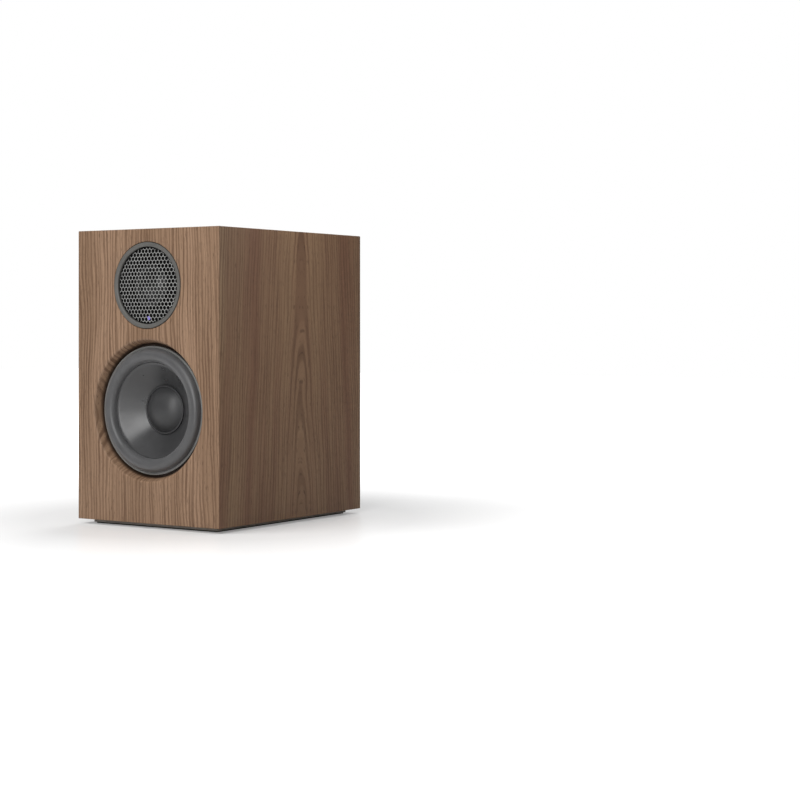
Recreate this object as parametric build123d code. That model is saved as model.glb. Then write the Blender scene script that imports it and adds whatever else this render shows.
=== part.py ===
from build123d import *
import math
import os

# Powered two-way bookshelf speaker. Millimetres. +X is right seen from the front, +Y runs from
# the front to the back, +Z is up. The origin is under the middle of the whole object.
# Depths are counted rearwards from the cabinet's front face.

# ---- cabinet ----
CAB_W = 148.0
CAB_H = 236.0
CAB_D = 194.0
WALL = 16.0
REAR_SINK = 12.0        # rear panel's outer face, in from the cabinet's rear edge
REAR_T = 12.0
REBATE = 6.0            # step in the boards that the rear panel sits in
LET_IN = 0.2            # gap round a board let into another
PLINTH_T = 3.0
PLINTH_INSET = 9.1
PAD_T = 1.0
PAD_INSET = 1.5
RING_PROUD = 0.5        # tweeter ring in front of the front face
REAR_REACH = 5.5        # binding posts behind the cabinet's rear edge
BRACE_T = 8.0
BRACE_RAIL = 14.0
BRACE_FRONT = 24.0
BRACE_BACK = 130.0
WADDING_T = 8.0
WADDING_BACK = 152.0

# ---- woofer ----
WOOFER_UP = 90.3        # axis above the cabinet's underside
LIP_R = 57.3            # mouth of the recess
LIP_ROUND = 1.0
FLOOR_R = 53.2          # floor of the recess
WOOFER_HOLE_R = 44.5
FRAME_R = 51.8
FRAME_SINK = 6.9        # trim ring's front, behind the front face
TRIM_W = 1.7
TRIM_T = 0.5
TRIM_SKIRT = 0.7
RUBBER_T = 0.8
ROLL_R = 5.5
ROLL_MID_R = 44.5
FLANGE_T = 1.2
GASKET_T = 0.8
BASKET_T = 1.2
BASKET_IN_R = 43.2
LEDGE_SINK = 33.0       # spider's landing
LEDGE_OUT_R = 38.5
LEDGE_IN_R = 29.5
WELL_SINK = 37.0
BASKET_WINDOWS = 6
WINDOW_W = 24.0
CONE_R = 38.85
CONE_T = 0.8
CAP_R = 19.8
CAP_RISE = 8.8
CONE_SLOPE = 0.83       # depth gained per millimetre of radius
CONE_RIM = 0.9          # flat rim that the surround is glued behind
FORMER_R = 12.7
FORMER_T = 0.3
FORMER_LENGTH = 20.0
WINDING_T = 0.5
WINDING_LENGTH = 7.0
COIL_GAP = 0.4
TOP_PLATE_T = 5.0
MAGNET_R = 34.0
MAGNET_IN_R = 19.0
MAGNET_T = 14.0
YOKE_T = 5.0
VENT_R = 4.0
STUD_R = 2.0
STUD_CIRCLE_R = 48.3
STUD_LENGTH = 11.6
STUDS = 4
NUT_R = 4.0
NUT_T = 3.2
SPIDER_T = 0.6
SPIDER_RIPPLE = 0.9
SPIDER_RIPPLES = 4

# ---- tweeter ----
TWEETER_DOWN = 45.3     # axis below the cabinet's top
RING_R = 34.5
RING_IN_R = 31.0
RING_T = 2.7
RING_GAP = 0.35         # shadow gap round the ring
FACE_T = 2.0
DISH_R = 24.0
THROAT_R = 15.3
THROAT_SINK = 5.0
FACE_BOSS_R = 23.1
FACE_BACK = 6.5
TWEETER_HOLE_R = 23.4
MESH_T = 0.6
MESH_RISE = 1.9
DOME_R = 12.4
DOME_RISE = 4.6
DOME_T = 0.4
SILK_T = 0.4
TWEETER_TOP_T = 3.0
TWEETER_MAGNET_T = 6.0
TWEETER_MAGNET_IN_R = 14.5
TWEETER_MOTOR_R = 22.0
TWEETER_CUP_T = 3.0
TWEETER_SCREW_CIRCLE_R = 28.6
TWEETER_SCREWS = 4
LIGHT_DOWN = 26.3       # status light below the tweeter's axis
LIGHT_R = 1.5
LIGHT_LENGTH = 6.0

# ---- reflex port ----
PORT_R = 15.0
PORT_T = 2.5
PORT_FLANGE_R = 22.5
PORT_FLANGE_T = 2.0
PORT_FLARE = 4.0
PORT_LENGTH = 92.0
PORT_TOP_GAP = 11.5     # tube's outside below the top board

# ---- amplifier ----
PLATE_W = 96.0
PLATE_H = 140.0
PLATE_T = 2.0
PLATE_UP = 24.0         # plate above the cabinet's underside
PLATE_RIM = 7.0
BOARD_W = 78.0
BOARD_H = 102.0
BOARD_T = 1.6
BOARD_UP = 28.0         # circuit board above the plate's lower edge
STANDOFF_R = 2.75
STANDOFF_H = 14.0
STANDOFF_INSET = 4.0
PANEL_GAP = 0.3         # round what passes through the plate
POST_SPACING = 19.0
POST_R = 3.0
POST_BORE_R = 2.05
POST_BORE_DEPTH = 11.0
POST_END_GAP = 1.5      # post's end in from its cap's end
POST_BASE_R = 7.0
POST_BASE_T = 3.0
POST_X = 22.0
POST_UP = 50.0
POST_SLIT_R = 1.1
WASHER_R = 5.5
WASHER_T = 1.2
CAP_OUT_R = 6.2
CAP_GAP = 0.08          # running clearance on the post
CAP_MOUTH_R = 2.5
CAP_RIBS = 18
BUTTON_R = 3.4
BUTTON_PROUD = 2.0
BUTTON_TRAVEL = 0.8
BUTTON_PITCH = 20.0
BUTTON_UP = 122.0
COLLAR_R = 4.4
COLLAR_T = 1.2
SWITCH_W = 6.0
SWITCH_H = 4.2
INLET_X = -28.0
INLET_UP = 16.0
INLET_W = 22.0
INLET_H = 14.0
LINE_X = 18.0
LINE_UP = 82.0
LINE_PITCH = 14.0
LINE_R = 4.15
AV_UP = 104.0
LEAD_R = 1.6
LIGHT_LEAD_R = 1.0
SCREW_SHANK_R = 1.5
SCREW_HEAD_R = 2.8
SCREW_HEAD_T = 1.8
SHANK_GAP = 0.05
SEAT = 0.1              # gap under a part that is seated but free

# ---- places worked out from the sizes above ----
BASE_Z = PLINTH_T + PAD_T
TOP_Z = BASE_Z + CAB_H
FRONT = RING_PROUD - (RING_PROUD + CAB_D + REAR_REACH) / 2
HALF_W = CAB_W / 2
IN_X = HALF_W - WALL
IN_Z0 = BASE_Z + WALL
IN_Z1 = TOP_Z - WALL
PANEL_BACK = CAB_D - REAR_SINK
PANEL_FRONT = PANEL_BACK - REAR_T
WOOFER_Z = BASE_Z + WOOFER_UP
TWEETER_Z = TOP_Z - TWEETER_DOWN
FOOT_SINK = FRAME_SINK + TRIM_T
FLANGE_SINK = FOOT_SINK + RUBBER_T
FLANGE_BACK = FLANGE_SINK + FLANGE_T
RECESS_D = FLANGE_BACK + GASKET_T
FLANGE_R = FRAME_R - TRIM_SKIRT - SEAT
CONE_SINK = FOOT_SINK + 0.2
INNER_FOOT_SINK = CONE_SINK + CONE_T
NECK_SINK = CONE_SINK + (CONE_R - CONE_RIM - FORMER_R) * CONE_SLOPE
TOP_SINK = WELL_SINK + BASKET_T
MAGNET_SINK = TOP_SINK + TOP_PLATE_T
YOKE_SINK = MAGNET_SINK + MAGNET_T
POLE_R = FORMER_R - FORMER_T - COIL_GAP
COIL_R = FORMER_R + WINDING_T
FORMER_SINK = NECK_SINK - 0.5
RING_BACK = RING_T - RING_PROUD
REBATE_D = RING_BACK + FACE_T
TWEETER_TOP_SINK = FACE_BACK
TWEETER_MAGNET_SINK = TWEETER_TOP_SINK + TWEETER_TOP_T
TWEETER_CUP_SINK = TWEETER_MAGNET_SINK + TWEETER_MAGNET_T
TWEETER_BACK = TWEETER_CUP_SINK + TWEETER_CUP_T
DOME_SINK = FACE_BACK - SILK_T
PORT_Z = IN_Z1 - PORT_TOP_GAP - PORT_R - PORT_T
PLATE_Z0 = BASE_Z + PLATE_UP
PLATE_BACK = PANEL_BACK + PLATE_T
BOARD_BACK = PANEL_BACK - STANDOFF_H
BOARD_FRONT = BOARD_BACK - BOARD_T
BOARD_Z0 = PLATE_Z0 + BOARD_UP
BOARD_Z1 = BOARD_Z0 + BOARD_H
POST_Z = PLATE_Z0 + POST_UP
POST_SEAT = PLATE_BACK + POST_BASE_T
CAP_END = CAB_D + REAR_REACH
POST_END = CAP_END - POST_END_GAP
BUTTON_Z = PLATE_Z0 + BUTTON_UP
LIGHT_Z = TWEETER_Z - LIGHT_DOWN
BRACE_Z0 = (WOOFER_Z + LIP_R + TWEETER_Z - RING_R) / 2 - BRACE_T / 2
BRACE_Z1 = BRACE_Z0 + BRACE_T


# ---- ways of making a solid ----
def block(x, depth, z):
    """Box from its low and high x, depth and z."""
    low = Vector(x[0], FRONT + depth[0], z[0])
    high = Vector(x[1], FRONT + depth[1], z[1])
    return Pos(*((low + high) / 2)) * Box(*(high - low))


def upright(x, half_x, depth, z, half_z):
    """Box about a line along the depth."""
    return block((x - half_x, x + half_x), depth, (z - half_z, z + half_z))


def spin(x, z, *outline):
    """Solid turned about the line along the depth at (x, z), from edges drawn as (radius, depth)."""
    plane = Plane(origin=(x, FRONT, z), x_dir=(1, 0, 0), z_dir=(0, 0, 1))
    edges = [edge for part in outline for edge in part.edges()]
    return revolve(plane * make_face(edges), Axis((x, FRONT, z), (0, 1, 0)))


def turned(x, z, *points):
    """Solid turned from a closed polygon of (radius, depth)."""
    return spin(x, z, Polyline(*points, close=True))


def tube(x, z, inner, outer, start, end):
    """Round tube, or a rod when inner is 0."""
    return turned(x, z, (inner, start), (outer, start), (outer, end), (inner, end))


def prism(sketch, x, z, start, end):
    """Sketch pushed rearwards from one depth to another."""
    plane = Plane(origin=(x, FRONT + start, z), x_dir=(1, 0, 0), z_dir=(0, 1, 0))
    return extrude(plane * sketch, end - start)


def around(count, radius, z, start=45.0):
    """Points evenly spaced on a circle about the line at (0, z)."""
    turns = [math.radians(start + 360.0 * i / count) for i in range(count)]
    return [(radius * math.cos(a), z + radius * math.sin(a)) for a in turns]


def screw(x, z, head_back, shank_r, length):
    """Screw driven forwards: a head that ends at head_back, with a hexagon socket, and its shank."""
    seat = head_back - SCREW_HEAD_T
    body = turned(x, z, (0, head_back), (SCREW_HEAD_R, head_back - 0.6), (SCREW_HEAD_R, seat),
                  (shank_r, seat), (shank_r, seat - length), (0, seat - length))
    socket = prism(RegularPolygon(SCREW_HEAD_R / 2, 6), x, z, head_back - 1.2, head_back + 1)
    return body - socket


def board(outer, inner):
    """Board between two parallel four-cornered faces, with a flat mitre on each side."""
    sides = [[outer[i], outer[i - 1], inner[i - 1], inner[i]] for i in range(4)]
    faces = [Face(Wire.make_polygon(corners, close=True)) for corners in (outer, inner, *sides)]
    return Solid(Shell(faces))


def lead(name, radius, points):
    """Round lead along straight runs joined by tangent arcs, each as large as its runs allow."""
    path = [Vector(x, FRONT + depth, z) for x, depth, z in points]
    runs = [b - a for a, b in zip(path, path[1:])]
    radii = []
    for before, after in zip(runs, runs[1:]):
        half_turn = math.radians(before.get_angle(after)) / 2
        radii.append(0.45 * min(before.length, after.length) / math.tan(half_turn))
    wire = FilletPolyline(*path, radius=radii)
    section = Plane(origin=path[0], z_dir=runs[0]) * Circle(radius)
    solid = sweep(section, path=wire)
    print(name, "radii", [round(r, 1) for r in radii], "length", round(wire.length, 1),
          "volume share", round(solid.volume / (math.pi * radius**2 * wire.length), 4))
    return solid


def save(name, *solids):
    """Write one piece, or a group of like pieces."""
    shape = solids[0] if len(solids) == 1 else Compound(children=[s.solid() for s in solids])
    export_step(shape, f"parts/{name}.step")


# ---- cabinet ----
def wall_ring(inset, depth):
    """Corners of the cabinet's section, drawn in by inset, at a depth, from the lower left."""
    x, z0, z1 = HALF_W - inset, BASE_Z + inset, TOP_Z - inset
    return [(-x, FRONT + depth, z0), (x, FRONT + depth, z0),
            (x, FRONT + depth, z1), (-x, FRONT + depth, z1)]


def make_cabinet():
    outer, inner = wall_ring(0, 0), wall_ring(WALL, WALL)
    outer_back, inner_back = wall_ring(0, CAB_D), wall_ring(WALL, CAB_D)
    rebate = block((-IN_X - REBATE, IN_X + REBATE), (PANEL_FRONT, CAB_D + 1),
                   (IN_Z0 - REBATE, IN_Z1 + REBATE))
    for i, name in enumerate(("bottom_panel", "right_panel", "top_panel", "left_panel")):
        j = (i + 1) % 4
        side = board([outer[i], outer[j], outer_back[j], outer_back[i]],
                     [inner[i], inner[j], inner_back[j], inner_back[i]])
        save(name, side - rebate)
    baffle = board(outer, inner) - woofer_cut() - tweeter_cut()
    lip = [e for e in baffle.edges().filter_by(GeomType.CIRCLE) if abs(e.radius - LIP_R) < 0.01]
    save("front_baffle", fillet(lip, LIP_ROUND))


def woofer_cut():
    """Flared recess, driver hole and stud holes."""
    flare = (LIP_R - FLOOR_R) / RECESS_D
    cut = turned(0, WOOFER_Z, (0, -1), (LIP_R + flare, -1), (FLOOR_R, RECESS_D),
                 (WOOFER_HOLE_R, RECESS_D), (WOOFER_HOLE_R, WALL + 1), (0, WALL + 1))
    for x, z in around(STUDS, STUD_CIRCLE_R, WOOFER_Z):
        cut += tube(x, z, 0, STUD_R + PANEL_GAP, RECESS_D - 1, WALL + 1)
    return cut


def tweeter_cut():
    """Rebate for the faceplate, motor hole, screw pilots and the light's notch."""
    cut = turned(0, TWEETER_Z, (0, -1), (RING_R + RING_GAP, -1), (RING_R + RING_GAP, REBATE_D),
                 (TWEETER_HOLE_R, REBATE_D), (TWEETER_HOLE_R, WALL + 1), (0, WALL + 1))
    for x, z in around(TWEETER_SCREWS, TWEETER_SCREW_CIRCLE_R, TWEETER_Z):
        cut += tube(x, z, 0, SCREW_SHANK_R + SHANK_GAP, REBATE_D - 1, REBATE_D + 9)
    return cut + tube(0, LIGHT_Z, 0, 2 * LIGHT_R + PANEL_GAP, REBATE_D - 1, WALL + 1)


def make_base():
    x, back = HALF_W - PLINTH_INSET, CAB_D - PLINTH_INSET
    save("base_plinth", block((-x, x), (PLINTH_INSET, back), (PAD_T, BASE_Z)))
    save("base_pad", block((-x + PAD_INSET, x - PAD_INSET),
                           (PLINTH_INSET + PAD_INSET, back - PAD_INSET), (0, PAD_T)))


def make_rear_panel():
    x = IN_X + REBATE - LET_IN
    z0, z1 = IN_Z0 - REBATE + LET_IN, IN_Z1 + REBATE - LET_IN
    window_x = PLATE_W / 2 - PLATE_RIM
    panel = block((-x, x), (PANEL_FRONT, PANEL_BACK), (z0, z1))
    panel -= block((-window_x, window_x), (PANEL_FRONT - 1, PANEL_BACK + 1),
                   (PLATE_Z0 + PLATE_RIM, PLATE_Z0 + PLATE_H - PLATE_RIM))
    panel -= tube(0, PORT_Z, 0, PORT_R + PORT_T + SEAT, PANEL_FRONT - 1, PANEL_BACK + 1)
    for px, pz in plate_screw_places():
        panel -= tube(px, pz, 0, SCREW_SHANK_R + SHANK_GAP, PANEL_FRONT + 1, PANEL_BACK + 1)
    places = rear_screw_places()
    for px, pz in places:
        panel -= tube(px, pz, 0, SCREW_SHANK_R + SHANK_GAP, PANEL_FRONT - 1, PANEL_BACK + 1)
    save("rear_panel", panel)
    save("rear_screws", *[screw(px, pz, PANEL_BACK + SCREW_HEAD_T, SCREW_SHANK_R, REAR_T - 0.5)
                          for px, pz in places])


def rear_screw_places():
    """Down both sides of the rear panel, outside the amplifier plate."""
    x, z0, z1 = IN_X - 1.0, IN_Z0 + 1.0, IN_Z1 - 1.0
    return [(side * x, z0 + (z1 - z0) * i / 3) for side in (-1, 1) for i in range(4)]


def plate_screw_places():
    """Round the rim of the amplifier plate."""
    x, z0, z1 = PLATE_W / 2 - 3.6, PLATE_Z0 + 3.6, PLATE_Z0 + PLATE_H - 3.6
    sides = [(side * x, z0 + (z1 - z0) * i / 2) for side in (-1, 1) for i in range(3)]
    return sides + [(0, z0), (0, z1)]


def make_inside_wood():
    brace = block((-IN_X, IN_X), (BRACE_FRONT, BRACE_BACK), (BRACE_Z0, BRACE_Z1))
    brace -= block((-IN_X + BRACE_RAIL, IN_X - BRACE_RAIL),
                   (BRACE_FRONT + BRACE_RAIL, BRACE_BACK - BRACE_RAIL), (BRACE_Z0 - 1, BRACE_Z1 + 1))
    save("shelf_brace", brace)
    pads = [block(sorted((side * (IN_X - SEAT), side * (IN_X - SEAT - WADDING_T))),
                  (BRACE_FRONT, WADDING_BACK), (IN_Z0 + SEAT, BRACE_Z0 - SEAT)) for side in (-1, 1)]
    save("wadding", *pads)


def make_port():
    """Straight tube with a flared mouth and a flange against the rear panel."""
    mouth, tip = PANEL_BACK + PORT_FLANGE_T, PANEL_BACK + PORT_FLANGE_T - PORT_LENGTH
    outer = PORT_R + PORT_T
    wide = PORT_R + PORT_FLARE
    middle = (wide - PORT_FLARE * math.sqrt(0.5), mouth - PORT_FLARE * (1 - math.sqrt(0.5)))
    flare = ThreePointArc((wide, mouth), middle, (PORT_R, mouth - PORT_FLARE))
    rest = Polyline((PORT_R, mouth - PORT_FLARE), (PORT_R, tip), (outer, tip),
                    (outer, PANEL_BACK), (PORT_FLANGE_R, PANEL_BACK), (PORT_FLANGE_R, mouth),
                    (wide, mouth))
    save("port_tube", spin(0, PORT_Z, flare, rest))


# ---- woofer ----
def make_basket():
    wall_back = LEDGE_SINK + BASKET_T
    shell = turned(
        0, WOOFER_Z, (FLANGE_R, FLANGE_SINK), (BASKET_IN_R, FLANGE_SINK),
        (LEDGE_OUT_R, LEDGE_SINK), (LEDGE_IN_R, LEDGE_SINK), (LEDGE_IN_R, WELL_SINK),
        (FORMER_R + 3.3, WELL_SINK), (FORMER_R + 3.3, TOP_SINK), (LEDGE_IN_R + BASKET_T, TOP_SINK),
        (LEDGE_IN_R + BASKET_T, wall_back), (LEDGE_OUT_R + BASKET_T, wall_back),
        (BASKET_IN_R + BASKET_T - 0.1, FLANGE_BACK), (FLANGE_R, FLANGE_BACK))
    for i in range(BASKET_WINDOWS):
        reach = Pos((LEDGE_OUT_R + BASKET_IN_R) / 2, 0, 0) * Box(14, 17, WINDOW_W)
        turn = Rot(0, 360.0 * (i + 0.5) / BASKET_WINDOWS, 0)
        shell -= Pos(0, FRONT + (FLANGE_BACK + LEDGE_SINK) / 2 + 1, WOOFER_Z) * turn * reach
    for x, z in around(STUDS, STUD_CIRCLE_R, WOOFER_Z):
        shell += tube(x, z, 0, STUD_R, FLANGE_BACK, FLANGE_BACK + STUD_LENGTH)
    save("woofer_basket", shell)
    nut = RegularPolygon(NUT_R, 6) - Circle(STUD_R + SHANK_GAP)
    save("woofer_nuts", *[prism(nut, x, z, WALL, WALL + NUT_T)
                          for x, z in around(STUDS, STUD_CIRCLE_R, WOOFER_Z)])


def make_woofer_rings():
    skirt = FRAME_R - TRIM_SKIRT
    save("woofer_trim_ring", turned(
        0, WOOFER_Z, (FRAME_R - TRIM_W, FRAME_SINK), (FRAME_R, FRAME_SINK), (FRAME_R, FLANGE_BACK),
        (skirt, FLANGE_BACK), (skirt, FOOT_SINK), (FRAME_R - TRIM_W, FOOT_SINK)))
    gasket = tube(0, WOOFER_Z, WOOFER_HOLE_R, FRAME_R, FLANGE_BACK, RECESS_D)
    for x, z in around(STUDS, STUD_CIRCLE_R, WOOFER_Z):
        gasket -= tube(x, z, 0, STUD_R + SHANK_GAP, FLANGE_BACK - 1, RECESS_D + 1)
    save("woofer_gasket", gasket)


def make_surround():
    """Half-roll of rubber between an outer foot on the basket and an inner foot behind the cone."""
    out_r, in_r = ROLL_MID_R + ROLL_R, ROLL_MID_R - ROLL_R
    under = ROLL_R - RUBBER_T
    foot_back = INNER_FOOT_SINK + RUBBER_T
    crown = ThreePointArc((out_r, FOOT_SINK), (ROLL_MID_R, FOOT_SINK - ROLL_R), (in_r, FOOT_SINK))
    inner_foot = Polyline((in_r, FOOT_SINK), (in_r, INNER_FOOT_SINK), (in_r - CONE_RIM, INNER_FOOT_SINK),
                          (in_r - CONE_RIM, foot_back), (in_r + RUBBER_T, foot_back),
                          (in_r + RUBBER_T, FOOT_SINK))
    hollow = ThreePointArc((in_r + RUBBER_T, FOOT_SINK), (ROLL_MID_R, FOOT_SINK - under),
                           (out_r - RUBBER_T, FOOT_SINK))
    outer_foot = Polyline((out_r - RUBBER_T, FOOT_SINK), (out_r - RUBBER_T, FLANGE_SINK),
                          (FLANGE_R, FLANGE_SINK), (FLANGE_R, FOOT_SINK), (out_r, FOOT_SINK))
    save("woofer_surround", spin(0, WOOFER_Z, crown, inner_foot, hollow, outer_foot))


def cone_front(r):
    """Depth of the cone's front at a radius."""
    return CONE_SINK + (CONE_R - CONE_RIM - r) * CONE_SLOPE


def make_cone():
    """Straight-sided paper cone with a flat rim and a neck glued to the former."""
    wall = CONE_T * math.hypot(1, CONE_SLOPE)
    neck = FORMER_R + SHANK_GAP
    bend = CONE_R - CONE_RIM - (wall - CONE_T) / CONE_SLOPE
    save("woofer_cone", turned(
        0, WOOFER_Z, (CONE_R, CONE_SINK), (CONE_R - CONE_RIM, CONE_SINK), (neck, cone_front(neck)),
        (neck, cone_front(neck) + wall), (bend, CONE_SINK + CONE_T), (CONE_R, CONE_SINK + CONE_T)))


def dome(x, z, radius, rise, thickness, sink):
    """Spherical cap of even thickness whose open edge is at a depth."""
    ball = (radius**2 + rise**2) / (2 * rise)
    centre = sink - rise + ball
    inner = ball - thickness
    inner_r = math.sqrt(inner**2 - (ball - rise)**2)
    half = math.asin(radius / ball) / 2
    half_in = math.asin(inner_r / inner) / 2
    skin = ThreePointArc((radius, sink), (ball * math.sin(half), centre - ball * math.cos(half)),
                         (0, centre - ball))
    under = ThreePointArc((0, centre - inner),
                          (inner * math.sin(half_in), centre - inner * math.cos(half_in)),
                          (inner_r, sink))
    return spin(x, z, skin, Line((0, centre - ball), (0, centre - inner)), under,
                Line((inner_r, sink), (radius, sink)))


def make_spider():
    """Rippled disc from the former to the basket's ledge."""
    inner, outer = FORMER_R + SHANK_GAP, LEDGE_OUT_R - 4.5
    flat_in, flat_out = inner + 1.5, LEDGE_IN_R - 0.5
    step = (flat_out - flat_in) / (4 * SPIDER_RIPPLES)
    front = [(inner, 0.0), (flat_in, 0.0)]
    for i in range(SPIDER_RIPPLES):
        start = flat_in + 4 * i * step
        front += [(start + step, -SPIDER_RIPPLE), (start + 2 * step, 0.0),
                  (start + 3 * step, SPIDER_RIPPLE), (start + 4 * step, 0.0)]
    front.append((outer, 0.0))
    sink = LEDGE_SINK - SPIDER_T
    band = [(r, sink + d) for r, d in front] + [(r, sink + d + SPIDER_T) for r, d in front[::-1]]
    save("woofer_spider", turned(0, WOOFER_Z, *band))


def make_voice_coil():
    """Former with its winding, centred on the top plate's gap."""
    mid = TOP_SINK + TOP_PLATE_T / 2
    save("woofer_voice_coil", turned(
        0, WOOFER_Z, (FORMER_R - FORMER_T, FORMER_SINK), (FORMER_R, FORMER_SINK),
        (FORMER_R, mid - WINDING_LENGTH / 2), (COIL_R, mid - WINDING_LENGTH / 2),
        (COIL_R, mid + WINDING_LENGTH / 2), (FORMER_R, mid + WINDING_LENGTH / 2),
        (FORMER_R, FORMER_SINK + FORMER_LENGTH), (FORMER_R - FORMER_T, FORMER_SINK + FORMER_LENGTH)))


def make_woofer_motor():
    save("woofer_top_plate",
         tube(0, WOOFER_Z, COIL_R + COIL_GAP, MAGNET_R - 1, TOP_SINK, MAGNET_SINK))
    save("woofer_magnet", tube(0, WOOFER_Z, MAGNET_IN_R, MAGNET_R, MAGNET_SINK, YOKE_SINK))
    back = YOKE_SINK + YOKE_T
    save("woofer_yoke", turned(
        0, WOOFER_Z, (VENT_R, TOP_SINK), (POLE_R, TOP_SINK), (POLE_R, YOKE_SINK),
        (MAGNET_R - 1, YOKE_SINK), (MAGNET_R - 1, back - 1), (MAGNET_R - 2, back), (VENT_R, back)))


def terminal_z():
    """Height of the woofer's terminals, on the back of the basket's ledge."""
    return WOOFER_Z + (LEDGE_IN_R + BASKET_T + LEDGE_OUT_R + BASKET_T) / 2 + 2.2


def make_terminals():
    """Strip with two solder tabs."""
    z, face = terminal_z(), LEDGE_SINK + BASKET_T
    strip = upright(0, 9, (face, face + 1.5), z, 2.2)
    tabs = [upright(side * 3.6, 2.4, (face + 1.5, face + 10), z, 0.4) for side in (-1, 1)]
    save("woofer_terminals", strip + tabs[0] + tabs[1])


# ---- tweeter ----
def make_tweeter_front():
    chamfer = 0.5
    save("tweeter_ring", turned(
        0, TWEETER_Z, (RING_IN_R + chamfer, -RING_PROUD), (RING_R - chamfer, -RING_PROUD),
        (RING_R, chamfer - RING_PROUD), (RING_R, RING_BACK), (RING_IN_R, RING_BACK),
        (RING_IN_R, chamfer - RING_PROUD)))
    plate = turned(
        0, TWEETER_Z, (RING_R - SEAT, RING_BACK), (RING_R - SEAT, REBATE_D), (FACE_BOSS_R, REBATE_D),
        (FACE_BOSS_R, FACE_BACK), (THROAT_R + 2.4, FACE_BACK), (THROAT_R + 2.4, FACE_BACK - 0.6),
        (THROAT_R, FACE_BACK - 0.6), (THROAT_R, THROAT_SINK), (DISH_R, RING_BACK))
    for x, z in around(TWEETER_SCREWS, TWEETER_SCREW_CIRCLE_R, TWEETER_Z):
        plate -= tube(x, z, 0, SCREW_SHANK_R + SHANK_GAP, RING_BACK - 1, REBATE_D + 1)
        plate -= turned(x, z, (0, RING_BACK - 0.1), (2.4, RING_BACK - 0.1), (0, RING_BACK + 2.3))
    plate -= tube(0, LIGHT_Z, 0, LIGHT_R + SEAT, RING_BACK - 1, REBATE_D + 1)
    save("tweeter_faceplate", plate)
    save("tweeter_mesh", dome(0, TWEETER_Z, RING_IN_R - SEAT, MESH_RISE, MESH_T, RING_BACK))
    save("tweeter_screws", *[
        turned(x, z, (0, RING_BACK + 0.05), (2.25, RING_BACK + 0.05), (1.45, RING_BACK + 0.85),
               (1.45, REBATE_D + 8), (0, REBATE_D + 8.5))
        for x, z in around(TWEETER_SCREWS, TWEETER_SCREW_CIRCLE_R, TWEETER_Z)])
    save("status_light", turned(
        0, LIGHT_Z, (0, RING_BACK + 0.1), (LIGHT_R - 0.5, RING_BACK + 0.1),
        (LIGHT_R, RING_BACK + 0.6), (LIGHT_R, REBATE_D), (LIGHT_R + 0.5, REBATE_D),
        (LIGHT_R + 0.5, REBATE_D + 1), (LIGHT_R, REBATE_D + 1),
        (LIGHT_R, RING_BACK + LIGHT_LENGTH), (0, RING_BACK + LIGHT_LENGTH)))


def make_tweeter_dome():
    save("tweeter_dome", dome(0, TWEETER_Z, DOME_R, DOME_RISE, DOME_T, DOME_SINK))
    in_r, out_r = DOME_R + SEAT, THROAT_R - SEAT
    mid, roll = (in_r + out_r) / 2, (out_r - in_r) / 2
    crown = ThreePointArc((out_r, DOME_SINK), (mid, DOME_SINK - roll), (in_r, DOME_SINK))
    under = ThreePointArc((in_r + SILK_T, DOME_SINK), (mid, DOME_SINK - roll + SILK_T),
                          (out_r - SILK_T, DOME_SINK))
    sides = Polyline((in_r, DOME_SINK), (in_r, FACE_BACK), (in_r + SILK_T, FACE_BACK),
                     (in_r + SILK_T, DOME_SINK))
    foot = Polyline((out_r - SILK_T, DOME_SINK), (out_r - SILK_T, FACE_BACK),
                    (THROAT_R + 2.2, FACE_BACK), (THROAT_R + 2.2, DOME_SINK), (out_r, DOME_SINK))
    save("tweeter_surround", spin(0, TWEETER_Z, crown, sides, under, foot))
    gap_mid = TWEETER_TOP_SINK + TWEETER_TOP_T / 2
    save("tweeter_voice_coil", turned(
        0, TWEETER_Z, (DOME_R - 0.4, DOME_SINK), (DOME_R - 0.05, DOME_SINK),
        (DOME_R - 0.05, gap_mid - 1), (DOME_R + 0.3, gap_mid - 1), (DOME_R + 0.3, gap_mid + 1),
        (DOME_R - 0.05, gap_mid + 1), (DOME_R - 0.05, gap_mid + 3), (DOME_R - 0.4, gap_mid + 3)))


def make_tweeter_motor():
    save("tweeter_top_plate", tube(0, TWEETER_Z, DOME_R + 0.7, TWEETER_MOTOR_R,
                                   TWEETER_TOP_SINK, TWEETER_MAGNET_SINK))
    save("tweeter_magnet", tube(0, TWEETER_Z, TWEETER_MAGNET_IN_R, TWEETER_MOTOR_R,
                                TWEETER_MAGNET_SINK, TWEETER_CUP_SINK))
    pole = DOME_R - 0.8
    save("tweeter_cup", turned(
        0, TWEETER_Z, (0, TWEETER_TOP_SINK), (pole, TWEETER_TOP_SINK), (pole, TWEETER_CUP_SINK),
        (TWEETER_MOTOR_R, TWEETER_CUP_SINK), (TWEETER_MOTOR_R, TWEETER_BACK - 0.8),
        (TWEETER_MOTOR_R - 0.8, TWEETER_BACK), (0, TWEETER_BACK)))


# ---- amplifier ----
def post_places():
    return [(POST_X - POST_SPACING / 2, POST_Z), (POST_X + POST_SPACING / 2, POST_Z)]


def button_places():
    return [((i - 1) * BUTTON_PITCH, BUTTON_Z) for i in range(3)]


def line_places():
    return [(LINE_X + (i - 1) * LINE_PITCH, PLATE_Z0 + LINE_UP) for i in range(3)]


def standoff_places():
    x = BOARD_W / 2 - STANDOFF_INSET
    return [(side * x, z) for side in (-1, 1)
            for z in (BOARD_Z0 + STANDOFF_INSET, BOARD_Z1 - STANDOFF_INSET)]


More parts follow.
